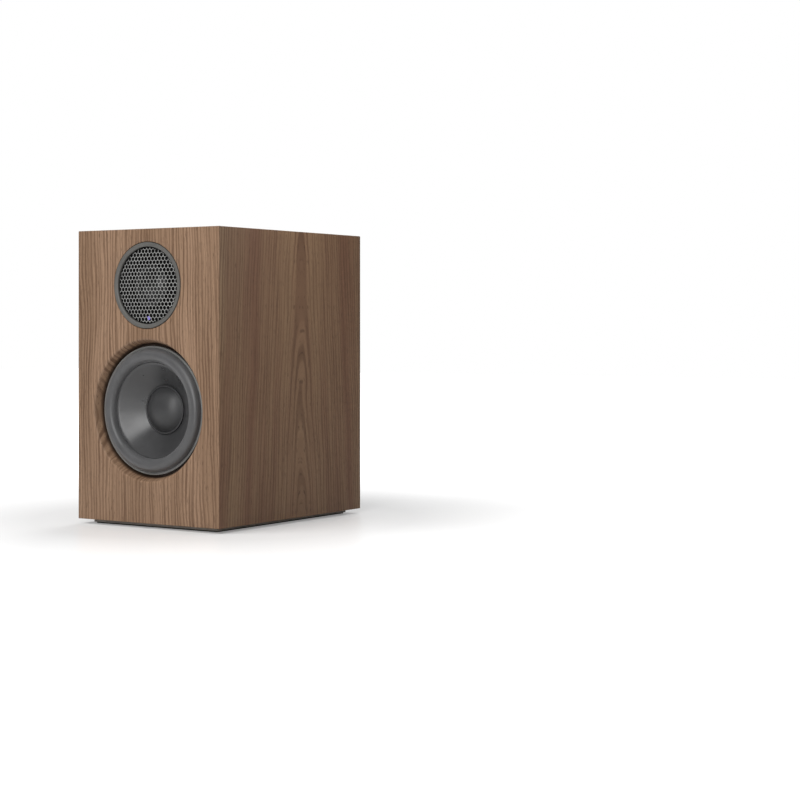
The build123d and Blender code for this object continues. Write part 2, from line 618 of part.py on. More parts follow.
def make_amp_plate():
    x, z1 = PLATE_W / 2, PLATE_Z0 + PLATE_H
    through = (PANEL_BACK - 1, PLATE_BACK + 1)
    plate = block((-x, x), (PANEL_BACK, PLATE_BACK), (PLATE_Z0, z1))
    plate -= upright(INLET_X, INLET_W / 2 + PANEL_GAP, through,
                     PLATE_Z0 + INLET_UP, INLET_H / 2 + PANEL_GAP)
    plate -= upright(INLET_X, 7.7 + PANEL_GAP, through, PLATE_Z0 + AV_UP, 3.1 + PANEL_GAP)
    holes = [(place, SCREW_SHANK_R + SHANK_GAP) for place in plate_screw_places()]
    holes += [(place, POST_R + 1.5) for place in post_places()]
    holes += [(place, BUTTON_R + PANEL_GAP) for place in button_places()]
    holes += [(place, LINE_R + PANEL_GAP) for place in line_places()]
    for (px, pz), r in holes:
        plate -= tube(px, pz, 0, r, *through)
    for px, pz in standoff_places():
        plate += tube(px, pz, 0, STANDOFF_R, BOARD_BACK, PANEL_BACK)
    save("amp_plate", plate)
    save("amp_screws", *[screw(px, pz, PLATE_BACK + SCREW_HEAD_T, SCREW_SHANK_R, REAR_T - 0.5)
                         for px, pz in plate_screw_places()])


def on_board(x, half_x, z, half_z, height):
    """Block standing on the front of the circuit board, on the side that faces the woofer."""
    return upright(x, half_x, (BOARD_FRONT - height, BOARD_FRONT), BOARD_Z0 + z, half_z)


def make_board():
    half = BOARD_W / 2
    save("main_board", block((-half, half), (BOARD_FRONT, BOARD_BACK), (BOARD_Z0, BOARD_Z1)))
    core = on_board(-20, 16, 20, 13, 22) - on_board(-20, 10, 20, 14, 22)
    coil = on_board(-20, 9.9, 20, 11, 20)
    bobbin = on_board(-20, 16, 20, 11, 3)
    save("transformer", core + coil + bobbin)
    cans = [(12, 12), (30, 12), (12, 32)]
    save("capacitors", *[turned(x, BOARD_Z0 + z, (0, BOARD_FRONT - 25), (7.2, BOARD_FRONT - 25),
                                (8, BOARD_FRONT - 24.2), (8, BOARD_FRONT), (0, BOARD_FRONT))
                         for x, z in cans])
    save("amp_chip", on_board(-20, 9, 70, 9, 2))
    sink = on_board(-20, 17, 70, 22, 5) - on_board(-20, 18, 70, 23, 2)
    for i in range(7):
        sink += upright(-36.5 + 5.5 * i, 0.75, (BOARD_FRONT - 22, BOARD_FRONT - 4.9),
                        BOARD_Z0 + 70, 22)
    save("heat_sink", sink)
    card = on_board(24, 11, 78, 13, 1)
    shield = upright(24, 8, (BOARD_FRONT - 3.2, BOARD_FRONT - 1), BOARD_Z0 + 76, 8)
    save("wireless_module", card + shield)
    save("tact_switches", *[upright(x, SWITCH_W / 2, (BOARD_BACK, BOARD_BACK + SWITCH_H), z, SWITCH_W / 2)
                            for x, z in button_places()])


def make_sockets():
    z = PLATE_Z0 + AV_UP
    shell = upright(INLET_X, 7.7, (BOARD_BACK, PLATE_BACK + 1), z, 3.1)
    shell -= upright(INLET_X, 7.0, (PLATE_BACK - 9, PLATE_BACK + 2), z, 2.3)
    save("av_socket", shell + upright(INLET_X, 5.5, (PLATE_BACK - 9, PLATE_BACK), z, 0.7))
    (x0, z), _, (x1, _) = line_places()
    body = block((x0 - 6.5, x1 + 6.5), (BOARD_BACK, PANEL_BACK - SEAT), (z - 6, z + 6))
    for x, z in line_places():
        body += tube(x, z, 0, LINE_R, PANEL_BACK - 1, PLATE_BACK + 8)
        body -= tube(x, z, 0, 1.7, PLATE_BACK - 1, PLATE_BACK + 9)
    save("line_sockets", body)


def make_inlet():
    """Two-pin mains inlet: a flanged shell with a waisted cavity, and its pins."""
    z, mouth = PLATE_Z0 + INLET_UP, PLATE_BACK + 2
    shell = upright(INLET_X, INLET_W / 2, (PANEL_BACK - 22, PLATE_BACK), z, INLET_H / 2)
    shell += upright(INLET_X, INLET_W / 2 + 3, (PLATE_BACK, mouth), z, INLET_H / 2 + 3)
    cavity = Pos(-4, 0) * Circle(4.4) + Pos(4, 0) * Circle(4.4) + Rectangle(8, 7.2)
    shell -= prism(cavity, INLET_X, z, mouth - 15, mouth + 1)
    for side in (-1, 1):
        shell += tube(INLET_X + side * 4.3, z, 0, 1.15, mouth - 15.5, mouth - 3)
    save("mains_inlet", shell)


def make_posts():
    places = post_places()
    base_in = POST_R + SHANK_GAP
    save("post_bases", *[turned(
        x, z, (base_in, BOARD_BACK + 3), (POST_R + 1.4, BOARD_BACK + 3), (POST_R + 1.4, PLATE_BACK),
        (POST_BASE_R, PLATE_BACK), (POST_BASE_R, POST_SEAT - 0.5), (POST_BASE_R - 0.5, POST_SEAT),
        (base_in, POST_SEAT)) for x, z in places])
    posts = []
    for x, z in places:
        post = tube(x, z, 0, POST_R, BOARD_BACK, POST_END)
        post -= tube(x, z, 0, POST_BORE_R, POST_END - POST_BORE_DEPTH, POST_END + 1)
        slit = Cylinder(POST_SLIT_R, 3 * POST_R)
        posts.append(post - Pos(x, FRONT + POST_SEAT + POST_SLIT_R + 0.3, z) * slit)
    save("binding_posts", *posts)
    washer_back = POST_SEAT + SEAT + WASHER_T
    for name, (x, z) in zip(("left", "right"), places):
        save(f"{name}_post_washer",
             tube(x, z, POST_R + CAP_GAP, WASHER_R, POST_SEAT + SEAT, washer_back))
        save(f"{name}_post_cap", post_cap(x, z, washer_back + SEAT))


def post_cap(x, z, start):
    """Ribbed nut that clamps a wire, open at its end for a plug."""
    well = CAP_END - POST_END_GAP + SEAT
    cap = turned(x, z, (POST_R + CAP_GAP, start), (CAP_OUT_R, start), (CAP_OUT_R, CAP_END - 1),
                 (CAP_OUT_R - 1, CAP_END), (CAP_MOUTH_R, CAP_END), (CAP_MOUTH_R, well),
                 (POST_R + CAP_GAP, well))
    rib = Circle(0.45)
    for i in range(CAP_RIBS):
        a = 2 * math.pi * i / CAP_RIBS
        px, pz = x + (CAP_OUT_R + 0.15) * math.cos(a), z + (CAP_OUT_R + 0.15) * math.sin(a)
        cap -= prism(rib, px, pz, start + 1.2, CAP_END + 1)
    return cap


def make_buttons():
    inner = BOARD_BACK + SWITCH_H + BUTTON_TRAVEL + SEAT
    collar = PANEL_BACK - SEAT - COLLAR_T
    tip = PLATE_BACK + BUTTON_PROUD
    for name, (x, z) in zip(("source", "pairing", "reset"), button_places()):
        save(f"{name}_button", turned(
            x, z, (0, inner), (1.6, inner), (1.6, collar), (COLLAR_R, collar),
            (COLLAR_R, collar + COLLAR_T), (BUTTON_R, collar + COLLAR_T), (BUTTON_R, tip - 0.5),
            (BUTTON_R - 0.5, tip), (0, tip)))


# ---- leads inside the cabinet ----
def make_leads():
    board_end = BOARD_FRONT - SEAT
    start = LEDGE_SINK + BASKET_T + 10 + SEAT
    z = terminal_z()
    save("woofer_lead", lead("woofer_lead", LEAD_R, [
        (0, start, z), (0, start + 24, z), (4, start + 50, z + 5), (8, start + 78, z - 2),
        (6, board_end - 24, BOARD_Z0 + 60), (6, board_end, BOARD_Z0 + 60)]))
    start = TWEETER_BACK + SEAT
    save("tweeter_lead", lead("tweeter_lead", LEAD_R, [
        (14, start, TWEETER_Z - 8), (14, start + 26, TWEETER_Z - 8),
        (20, start + 56, BRACE_Z1 + 6.8), (32, start + 84, BRACE_Z0 - 10.2),
        (37, board_end - 26, BOARD_Z0 + 89), (37, board_end, BOARD_Z0 + 89)]))
    start = RING_BACK + LIGHT_LENGTH + SEAT
    save("light_lead", lead("light_lead", LIGHT_LEAD_R, [
        (0, start, LIGHT_Z), (0, start + 30, LIGHT_Z), (-6, start + 58, BRACE_Z0 + BRACE_T / 2),
        (-8, start + 86, BRACE_Z0 - 13.5), (0, start + 112, BRACE_Z0 - 21.5),
        (0, board_end - 16, BOARD_Z0 + 88), (0, board_end, BOARD_Z0 + 88)]))


def main():
    os.makedirs("parts", exist_ok=True)
    make_cabinet()
    make_base()
    make_rear_panel()
    make_inside_wood()
    make_port()
    make_basket()
    make_woofer_rings()
    make_surround()
    make_cone()
    save("woofer_dust_cap", dome(0, WOOFER_Z, CAP_R, CAP_RISE, CONE_T,
                                 cone_front(CAP_R) - CONE_T / 2))
    make_spider()
    make_voice_coil()
    make_woofer_motor()
    make_terminals()
    make_tweeter_front()
    make_tweeter_dome()
    make_tweeter_motor()
    make_amp_plate()
    make_board()
    make_sockets()
    make_inlet()
    make_posts()
    make_buttons()
    make_leads()


main()
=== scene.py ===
"""Looks for a powered bookshelf speaker, built round its solid model.

The front faces -Y, +X is right seen from the front and +Z is up. Sizes in the settings and in the
shape functions are millimetres, with depths counted rearwards from the cabinet's front face; the
meshes are written in metres.
"""

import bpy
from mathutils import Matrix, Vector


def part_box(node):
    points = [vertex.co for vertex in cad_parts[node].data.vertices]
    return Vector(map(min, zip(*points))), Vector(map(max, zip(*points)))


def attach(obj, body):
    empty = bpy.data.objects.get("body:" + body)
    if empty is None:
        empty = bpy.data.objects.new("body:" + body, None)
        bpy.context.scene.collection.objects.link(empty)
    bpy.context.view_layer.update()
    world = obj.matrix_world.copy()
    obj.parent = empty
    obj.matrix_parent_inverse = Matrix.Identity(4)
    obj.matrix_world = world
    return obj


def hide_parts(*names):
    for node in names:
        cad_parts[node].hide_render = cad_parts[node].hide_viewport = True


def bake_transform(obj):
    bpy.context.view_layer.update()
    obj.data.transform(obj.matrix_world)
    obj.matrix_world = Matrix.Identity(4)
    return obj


bl_info = {
    "name": "Bookshelf Speaker",
    "version": (1, 0, 0),
    "blender": (4, 5, 0),
    "location": "3D View > Sidebar > Speaker",
    "description": "Builds the visible pieces and finishes of a powered bookshelf speaker",
    "category": "Object",
}

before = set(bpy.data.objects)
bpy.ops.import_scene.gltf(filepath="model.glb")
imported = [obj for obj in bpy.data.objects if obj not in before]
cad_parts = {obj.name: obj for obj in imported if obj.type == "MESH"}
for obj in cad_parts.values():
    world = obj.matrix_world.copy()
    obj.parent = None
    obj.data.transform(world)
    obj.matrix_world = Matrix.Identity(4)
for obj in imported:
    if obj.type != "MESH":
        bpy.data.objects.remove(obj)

import math

import bmesh
import bpy
import numpy as np

MM = 0.001  # a millimetre in metres
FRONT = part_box("front_baffle")[0].y / MM  # y of the cabinet's front face
WELD = 2e-6  # vertices this close, in metres, are made one
SLIVER = 1e-6  # edges shorter than this, in metres, go
ON_PLANE = 1e-6  # a point this close to a plane, in millimetres, lies on it
TINY = 1e-9  # keeps a division away from nought
EDGE_SHARES = np.array([0, 0.2, 0.41, 0.66, 1.0])  # points across a rounded edge, in its radius
BOARD_SPACING = 12.0  # between points along a board, mm
FRONT_SPACING = 2.4  # between points round the front board, mm
REBATE_GAP = 0.2  # round the rear panel, mm
BEVEL_ROWS = 2
SURROUND_SINK = 0.5  # surround's flat edge behind the front of the rim, mm


# ---------------------------------------------------------------- places read from the solid model
def extent(node):
    """Lowest and highest corner of a solid in millimetres, its y as a depth."""
    low, high = (np.array(corner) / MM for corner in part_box(node))
    return low - (0, FRONT, 0), high - (0, FRONT, 0)


def middle(node):
    """Centre of a solid's box in millimetres, its y as a depth."""
    low, high = extent(node)
    return (low + high) / 2


def half_width(node):
    """Half of a solid's size along X, the outer radius of a round one."""
    low, high = extent(node)
    return (high[0] - low[0]) / 2


# ---------------------------------------------------------------- meshes
def place(points):
    """Points of (x, depth, z) in millimetres to metres in the shared frame."""
    points = np.asarray(points, float).reshape(-1, 3)
    return (points + (0, FRONT, 0)) * MM


def grid_faces(rows, columns, round_rows=False, round_columns=False):
    """Four-cornered faces of a grid of rows x columns points, closed where asked."""
    r = np.arange(rows if round_rows else rows - 1)[:, None]
    c = np.arange(columns if round_columns else columns - 1)[None, :]
    r1, c1 = (r + 1) % rows, (c + 1) % columns
    corners = (r * columns + c, r * columns + c1, r1 * columns + c1, r1 * columns + c)
    return np.stack(np.broadcast_arrays(*corners), -1).reshape(-1, 4)


def stand(name, data):
    """New object in the scene for a mesh, light or camera."""
    made = bpy.data.objects.new(name, data)
    bpy.context.scene.collection.objects.link(made)
    return made


def shade(mesh, crease):
    """Shade smooth, but stay sharp where two faces meet at more than the crease in degrees."""
    mesh.shade_smooth()
    mesh.set_sharp_from_angle(angle=math.radians(crease))


def tidy(mesh, crease):
    """Join doubled points, drop faces without area, turn faces outwards, and shade smooth."""
    work = bmesh.new()
    work.from_mesh(mesh)
    bmesh.ops.remove_doubles(work, verts=work.verts, dist=WELD)
    bmesh.ops.dissolve_degenerate(work, edges=work.edges, dist=SLIVER)
    bmesh.ops.recalc_face_normals(work, faces=work.faces)
    work.to_mesh(mesh)
    work.free()
    shade(mesh, crease)


def piece(name, points, faces, material, crease=35.0):
    """New object at the origin from points in millimetres."""
    mesh = bpy.data.meshes.new(name)
    mesh.from_pydata(place(points).tolist(), [], [list(map(int, face)) for face in faces])
    tidy(mesh, crease)
    made = stand(name, mesh)
    mesh.materials.append(material)
    return made


def seat(made, body, *nodes):
    """Ride on a body and stand for its solids."""
    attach(made, body)
    stand_for(made, *nodes)
    return made


def stand_for(made, *nodes):
    """Hide the solids that a piece replaces."""
    if nodes:
        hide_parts(*nodes)


def eased(corners, steps=5):
    """Outline whose corners (a, b, ease) are rounded: each is a quadratic curve between the points
    that lie the ease back along its two sides."""
    corners = np.array(corners, float)
    points = []
    t = np.linspace(0, 1, steps)[:, None]
    for before, here, after in zip(np.roll(corners, 1, 0), corners, np.roll(corners, -1, 0)):
        ease, here = here[2], here[:2]
        if ease == 0:
            points.append(here[None])
            continue
        first, last = before[:2] - here, after[:2] - here
        first = here + first * min(0.5, ease / np.linalg.norm(first))
        last = here + last * min(0.5, ease / np.linalg.norm(last))
        points.append((1 - t) ** 2 * first + 2 * t * (1 - t) * here + t ** 2 * last)
    return np.concatenate(points)


def arc(centre, radius, start, end, steps):
    """Points on a circle in the outline's plane, angles in degrees from the radius axis."""
    a = np.radians(np.linspace(start, end, steps))
    return np.stack([centre[0] + radius * np.cos(a), centre[1] + radius * np.sin(a)], -1)


def turned(name, outlines, axes, material, sides=192, crease=35.0):
    """Closed outlines of (radius, depth), each carried round the line along the depth through its
    own axis (x, z), as one object."""
    points, faces, base = [], [], 0
    angle = np.linspace(0, 2 * np.pi, sides, endpoint=False)[None, :]
    for outline, axis in zip(outlines, axes):
        outline = np.asarray(outline, float)
        radius = np.repeat(np.maximum(outline[:, :1], 0), sides, 1)
        depth = np.repeat(outline[:, 1:], sides, 1)
        ring = np.stack([axis[0] + radius * np.cos(angle), depth, axis[1] + radius * np.sin(angle)], -1)
        points.append(ring.reshape(-1, 3))
        faces.append(grid_faces(len(outline), sides, True, True) + base)
        base += len(points[-1])
    return piece(name, np.concatenate(points), np.concatenate(faces), material, crease)


def refined(node, name, material, edge_mm, body="cabinet", crease=30.0):
    """Copy of a solid whose triangles are joined, flats merged, and edges slightly rounded."""
    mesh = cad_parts[node].data.copy()
    mesh.name = name
    mesh.materials.clear()
    work = bmesh.new()
    work.from_mesh(mesh)
    bmesh.ops.remove_doubles(work, verts=work.verts, dist=WELD)
    bmesh.ops.dissolve_limit(work, angle_limit=math.radians(0.5), verts=work.verts, edges=work.edges)
    work.to_mesh(mesh)
    work.free()
    shade(mesh, crease)
    made = stand(name, mesh)
    mesh.materials.append(material)
    bevel = made.modifiers.new("rounded edges", "BEVEL")
    bevel.width = edge_mm * MM
    bevel.segments = BEVEL_ROWS
    bevel.limit_method = "ANGLE"
    bevel.angle_limit = math.radians(crease)
    bevel.harden_normals = True
    return seat(made, body, node)


def repaint(made, materials, chooser):
    """Give each face a further material: chooser takes face centres (x, depth, z) in millimetres and
    returns an index per face, 0 for the first material."""
    for material in materials:
        made.data.materials.append(material)
    centres = np.empty(len(made.data.polygons) * 3)
    made.data.polygons.foreach_get("center", centres)
    centres = centres.reshape(-1, 3) / MM - (0, FRONT, 0)
    made.data.polygons.foreach_set("material_index", chooser(centres).astype(np.int32))
    made.data.update()


# ---------------------------------------------------------------- cabinet
def near_edges(low, high, radius, spacing):
    """Stations from low to high: close together within one edge radius of each end, wide between."""
    close = radius * EDGE_SHARES
    count = max(2, int(round((high - low - 2 * radius) / spacing)) + 1)
    return np.concatenate([low + close[:-1], np.linspace(low + radius, high - radius, count),
                           high - close[-2::-1]])


def round_box(points, low, high, radius):
    """Move points that lie on a sharp box onto the same box with round edges: each goes to the
    sphere of that radius about its nearest point in the box drawn in by the radius."""
    core = np.clip(points, low + radius, high - radius)
    away = points - core
    distance = np.linalg.norm(away, axis=-1, keepdims=True)
    on_skin = (np.abs(points - low) < ON_PLANE).any(-1) | (np.abs(points - high) < ON_PLANE).any(-1)
    moved = core + away * radius / np.maximum(distance, TINY)
    return np.where(on_skin[..., None], moved, points)


def cabinet_box():
    """Corners of the veneered box, from the left and right boards."""
    return extent("left_panel")[0], extent("right_panel")[1]


def side_board(name, node, along, sign, material, radius):
    """Board with mitred ends: its section in (depth, distance in from the outer face) is carried
    along the X or Z axis, and each point's end stands in by its own distance from the face."""
    low, high = cabinet_box()
    wall = extent("front_baffle")[1][1]
    rebate_in = -low[0] - half_width("rear_panel") - REBATE_GAP
    step = extent("rear_panel")[0][1]
    back = high[1]
    face = near_edges(0, back, radius, BOARD_SPACING)
    rear = near_edges(0, 2 * radius, radius, 1.0)[1:5]
    section = [(depth, 0.0) for depth in face] + [(back, t) for t in rear]
    section += [(back, rebate_in), (step, rebate_in), (step, wall), (wall, wall)]
    section = np.array(section)
    start, end = (low[2], high[2]) if along == 2 else (low[0], high[0])
    ends_at = near_edges(0, end - start, radius, BOARD_SPACING)[:, None]
    share = ends_at / (end - start)
    depth, inset = np.broadcast_to(section[:, 0], (len(share), len(section))), section[:, 1]
    run = start + inset + share * (end - start - 2 * inset)
    run = np.where(inset < radius, np.clip(start + ends_at, start + inset, end - inset), run)
    across = 0 if along == 2 else 2
    outer = high[across] if sign > 0 else low[across]
    points = np.zeros(run.shape + (3,))
    points[..., 1] = depth
    points[..., along] = run
    points[..., across] = outer - sign * inset
    points = round_box(points, low, high, radius)
    rows, columns = run.shape
    faces = grid_faces(rows, columns, False, True).tolist()
    faces += [list(range(columns)), list(range((rows - 1) * columns, rows * columns))[::-1]]
    return seat(piece(name, points.reshape(-1, 3), faces, material, 50.0), "cabinet", node)


def rectangle_loop(low, high, split_low, split_high, spacing, radius):
    """Points round a rectangle in (x, z), anticlockwise from the lower left, close together near
    the cabinet's outer edges. A split end is a cut across the board, with no close points."""
    close = len(EDGE_SHARES) - 1
    xs = near_edges(low[0], high[0], radius, spacing)
    zs = near_edges(low[1], high[1], radius, spacing)
    if split_high:
        zs = zs[:-close]
        zs[-1] = high[1]
    if split_low:
        zs = zs[close:]
        zs[0] = low[1]
    bottom = [(x, low[1]) for x in xs[:-1]]
    right = [(high[0], z) for z in zs[:-1]]
    top = [(x, high[1]) for x in xs[:0:-1]]
    left = [(low[0], z) for z in zs[:0:-1]]
    return np.array(bottom + right + top + left)


def baffle_half(low, high, centre, hole, lower, radius, wall):
    """Half of the front board round one driver. Each column of points runs from the cabinet's edge
    over the front to the driver's hole, through it, and back over the rear face to the mitre. hole
    is the outline of (radius, depth) from the front face to the rear face."""
    loop = rectangle_loop(low, high, not lower, lower, FRONT_SPACING, radius)
    span, height = high[0] - low[0], high[1] - low[1]
    inner_low = np.array([low[0] + wall, low[1] + (wall if lower else 0)])
    inner_high = np.array([high[0] - wall, high[1] - (0 if lower else wall)])
    inner = inner_low + (loop - low) / (span, height) * (inner_high - inner_low)
    away = loop - centre
    ray = away / np.linalg.norm(away, axis=1, keepdims=True)
    rows = []
    for inset in radius * np.append(EDGE_SHARES, 2.0):
        drawn = loop.copy()
        drawn[:, 0] = np.clip(loop[:, 0], low[0] + inset, high[0] - inset)
        if lower:
            drawn[:, 1] = np.maximum(loop[:, 1], low[1] + inset)
        else:
            drawn[:, 1] = np.minimum(loop[:, 1], high[1] - inset)
        rows.append(np.stack([drawn[:, 0], np.zeros(len(loop)), drawn[:, 1]], -1))
    edge = rows[-1][:, [0, 2]]
    first = centre + ray * hole[0][0]
    for share in (0.35, 0.7):
        flat = edge * (1 - share) + first * share
        rows.append(np.stack([flat[:, 0], np.zeros(len(loop)), flat[:, 1]], -1))
    for r, depth in hole:
        ring = centre + ray * r
        rows.append(np.stack([ring[:, 0], np.full(len(loop), depth), ring[:, 1]], -1))
    rows.append(np.stack([inner[:, 0], np.full(len(loop), wall), inner[:, 1]], -1))
    points = np.stack(rows)
    count = len(loop)
    faces = grid_faces(len(rows), count, False, True).tolist()
    shared = np.abs(loop[:, 1] - (high[1] if lower else low[1])) < ON_PLANE
    last = (len(rows) - 1) * count
    for i in range(count):
        j = (i + 1) % count
        if not (shared[i] and shared[j]):
            faces.append([i, last + i, last + j, j])
    return points.reshape(-1, 3), faces


def front_board(settings, material):
    """Front board: a flared recess with a soft rolled mouth round the woofer and a stepped hole for the
    tweeter, joined along a level line between the two."""
    low, high = cabinet_box()
    radius = settings.edge_radius
    wall = extent("front_baffle")[1][1]
    woofer, tweeter = middle("woofer_trim_ring"), middle("tweeter_ring")
    floor = extent("woofer_gasket")[1][1]
    lip, foot = settings.recess_mouth_radius, settings.recess_floor_radius
    roll, set_out = settings.recess_roll_radius, 0.45  # the roll's centre lies that share outside
    edge = arc((lip + roll * set_out, roll), roll, -90, -160, 11)
    t = np.linspace(0, 1, 12)[1:, None]
    wall_line = edge[-1] * (1 - t) + np.array([foot, floor]) * t
    gasket_ledge, shadow_gap, boss, motor_gap = 7.3, 0.6, 2.3, 1.4
    cutout = half_width("woofer_gasket") - gasket_ledge
    woofer_hole = np.concatenate([edge, wall_line, [(cutout, floor), (cutout, wall)]])
    step = extent("tweeter_faceplate")[1][1] - boss
    rim = half_width("tweeter_ring") + shadow_gap
    motor = half_width("tweeter_top_plate") + motor_gap
    tweeter_hole = np.array([(rim + 0.12, 0), (rim + 0.04, 0.04), (rim, 0.12), (rim, step),
                             (motor, step), (motor, wall)])
    split = (woofer[2] + lip + tweeter[2] - rim) / 2
    ends = ((low[[0, 2]], np.array([high[0], split]), woofer[[0, 2]], woofer_hole, True),
            (np.array([low[0], split]), high[[0, 2]], tweeter[[0, 2]], tweeter_hole, False))
    points, faces = [], []
    for a, b, centre, hole, lower in ends:
        some, quads = baffle_half(a, b, centre, hole, lower, radius, wall)
        base = sum(len(p) for p in points)
        points.append(some)
        faces += [[base + i for i in quad] for quad in quads]
    points = round_box(np.concatenate(points), low, high, radius)
    return seat(piece("veneered_front", points, faces, material, 40.0), "cabinet", "front_baffle")


# ---------------------------------------------------------------- woofer
def facing(front, thickness):
    """Closed outline of a thin shell: the front curve of (radius, depth), then the same curve
    moved straight back by the thickness, in reverse."""
    front = np.asarray(front, float)
    return np.concatenate([front, front[::-1] + (0, thickness)])


def dome_curve(rim, crown_depth, rise, steps=26):
    """Circle arc from the rim radius in to the axis, rising forward to the crown."""
    sphere = (rim ** 2 + rise ** 2) / (2 * rise)
    top = math.asin(rim / sphere)
    a = np.linspace(top, 0, steps)
    return np.stack([sphere * np.sin(a), crown_depth + sphere * (1 - np.cos(a))], -1)


def woofer_rim(axis, front, outer):
    """Thin flat rim with a small step down inside it, and a skirt behind."""
    foot, step, back = front + SURROUND_SINK, front + 0.42, front + 2.5
    ring = [(outer, back, 0), (outer, front, 0.3), (outer - 1.0, front - 0.02, 0.25),
            (outer - 1.25, step, 0.1), (outer - 1.7, step, 0.1), (outer - 1.7, foot, 0),
            (outer - 0.72, foot, 0), (outer - 0.72, back, 0)]
    seat(turned("woofer_trim_rim", [eased(ring)], [axis], finish("satin_trim_paint"), 256), "cabinet",
         "woofer_trim_ring")


def roll_surround(axis, front, outer, roll):
    """Rubber half roll: a flat edge inside the rim, a half circle forward, and a lip that runs in
    behind the cone. Its back is a smaller half circle about the same centre."""
    foot, rim = front + SURROUND_SINK, half_width("woofer_cone")
    middle_r = outer - 2.1 - roll
    over = arc((middle_r, foot), roll, 0, -180, 40)
    under = arc((middle_r, foot), roll - 0.8, -180, 0, 34)
    seam = middle_r - roll
    band = np.concatenate([[(outer - 0.75, foot + 0.06), (middle_r + roll + 0.35, foot + 0.05)], over,
                           [(seam - 0.1, foot + 0.35), (seam - 0.45, foot + 1.0),
                            (rim - 2.2, foot + 1.9), (rim - 2.3, foot + 2.5), (seam - 0.3, foot + 1.6),
                            (seam + 0.75, foot + 0.6)], under,
                           [(middle_r + roll + 0.2, foot + 0.78), (outer - 0.75, foot + 0.78)]])
    made = turned("woofer_roll_surround", [band], [axis], finish("surround_rubber"), 256)
    bend_radially(made, axis)
    stand_for(made, "woofer_surround")


def pulp_cone(axis, slope):
    """Cone: a small flat rim, then a straight line in to the voice coil that gains the slope in depth
    for each millimetre of radius."""
    rim, front = half_width("woofer_cone"), extent("woofer_cone")[0][1]
    neck = extent("woofer_voice_coil")[1][0] - 0.4
    flat = rim - 0.9
    cone = [(rim, front + 0.7, 0), (rim, front, 0.3), (flat, front, 0.5)]
    line = np.linspace(flat - 0.6, neck, 26)
    slant = np.stack([line, front + (flat - line) * slope], -1)
    cone = np.concatenate([eased(cone)[:-1], slant])
    seat(turned("woofer_pulp_cone", [facing(cone, 0.8)], [axis], finish("coated_cone_pulp"), 256),
         "woofer_diaphragm", "woofer_cone")


def centre_cap(axis, rise):
    """Cap glued on the cone: a bead and a groove round its edge, and a dome from the groove up."""
    cap, crown = half_width("woofer_dust_cap"), extent("woofer_dust_cap")[0][1]
    edge = crown + rise
    groove, groove_depth = cap - 2.05, edge - 0.7
    lip = [(cap, edge + 0.1, 0.0), (cap - 0.05, edge - 1.0, 0.4), (cap - 1.1, edge - 1.1, 0.4),
           (cap - 1.6, edge - 0.1, 0.12), (groove, groove_depth, 0.1)]
    dome = dome_curve(groove, crown, groove_depth - crown)
    shell = np.concatenate([eased(lip)[:-1], dome])
    seat(turned("woofer_centre_cap", [facing(shell, 0.7)], [axis], finish("coated_cap_pulp"), 192),
         "woofer_diaphragm", "woofer_dust_cap")


def corrugated_spider(axis):
    """Cloth ring with five waves: a sine whose height follows the root of a half sine."""
    waves, height = 5, 0.9
    low, high = extent("woofer_spider")
    inner = extent("woofer_voice_coil")[1][0] + 0.05
    r = np.linspace(inner, high[0], 110)
    share = np.clip((r - inner - 2) / (high[0] - inner - 5), 0, 1)
    wave = np.sin(share * 2 * np.pi * waves) * height * np.sin(np.pi * share) ** 0.5
    cloth = np.stack([r, (low[1] + high[1]) / 2 - 0.3 + wave], -1)
    spider = turned("woofer_corrugated_spider", [facing(cloth, 0.5)], [axis], finish("spider_cloth"), 128)
    bend_radially(spider, axis)
    stand_for(spider, "woofer_spider")


def woofer_pieces(settings):
    """Visible pieces of the woofer, in order from the rim inwards."""
    axis = middle("woofer_cone")[[0, 2]]
    front, outer = extent("woofer_trim_ring")[0][1], half_width("woofer_trim_ring")
    woofer_rim(axis, front, outer)
    roll_surround(axis, front, outer, settings.roll_radius)
    pulp_cone(axis, settings.cone_slope)
    centre_cap(axis, settings.cap_rise)
    refined("woofer_gasket", "woofer_foam_gasket", finish("gasket_foam"), 0.15)
    corrugated_spider(axis)


def bend_radially(made, axis):
    """Bake a ring's place into its mesh and read its points about the axis; nothing moves them."""
    centre = place([(axis[0], 0, axis[1])])[0]
    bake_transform(made)
    count = len(made.data.vertices)
    corners = np.empty(count * 3)
    made.data.vertices.foreach_get("co", corners)
    corners = corners.reshape(-1, 3) - centre


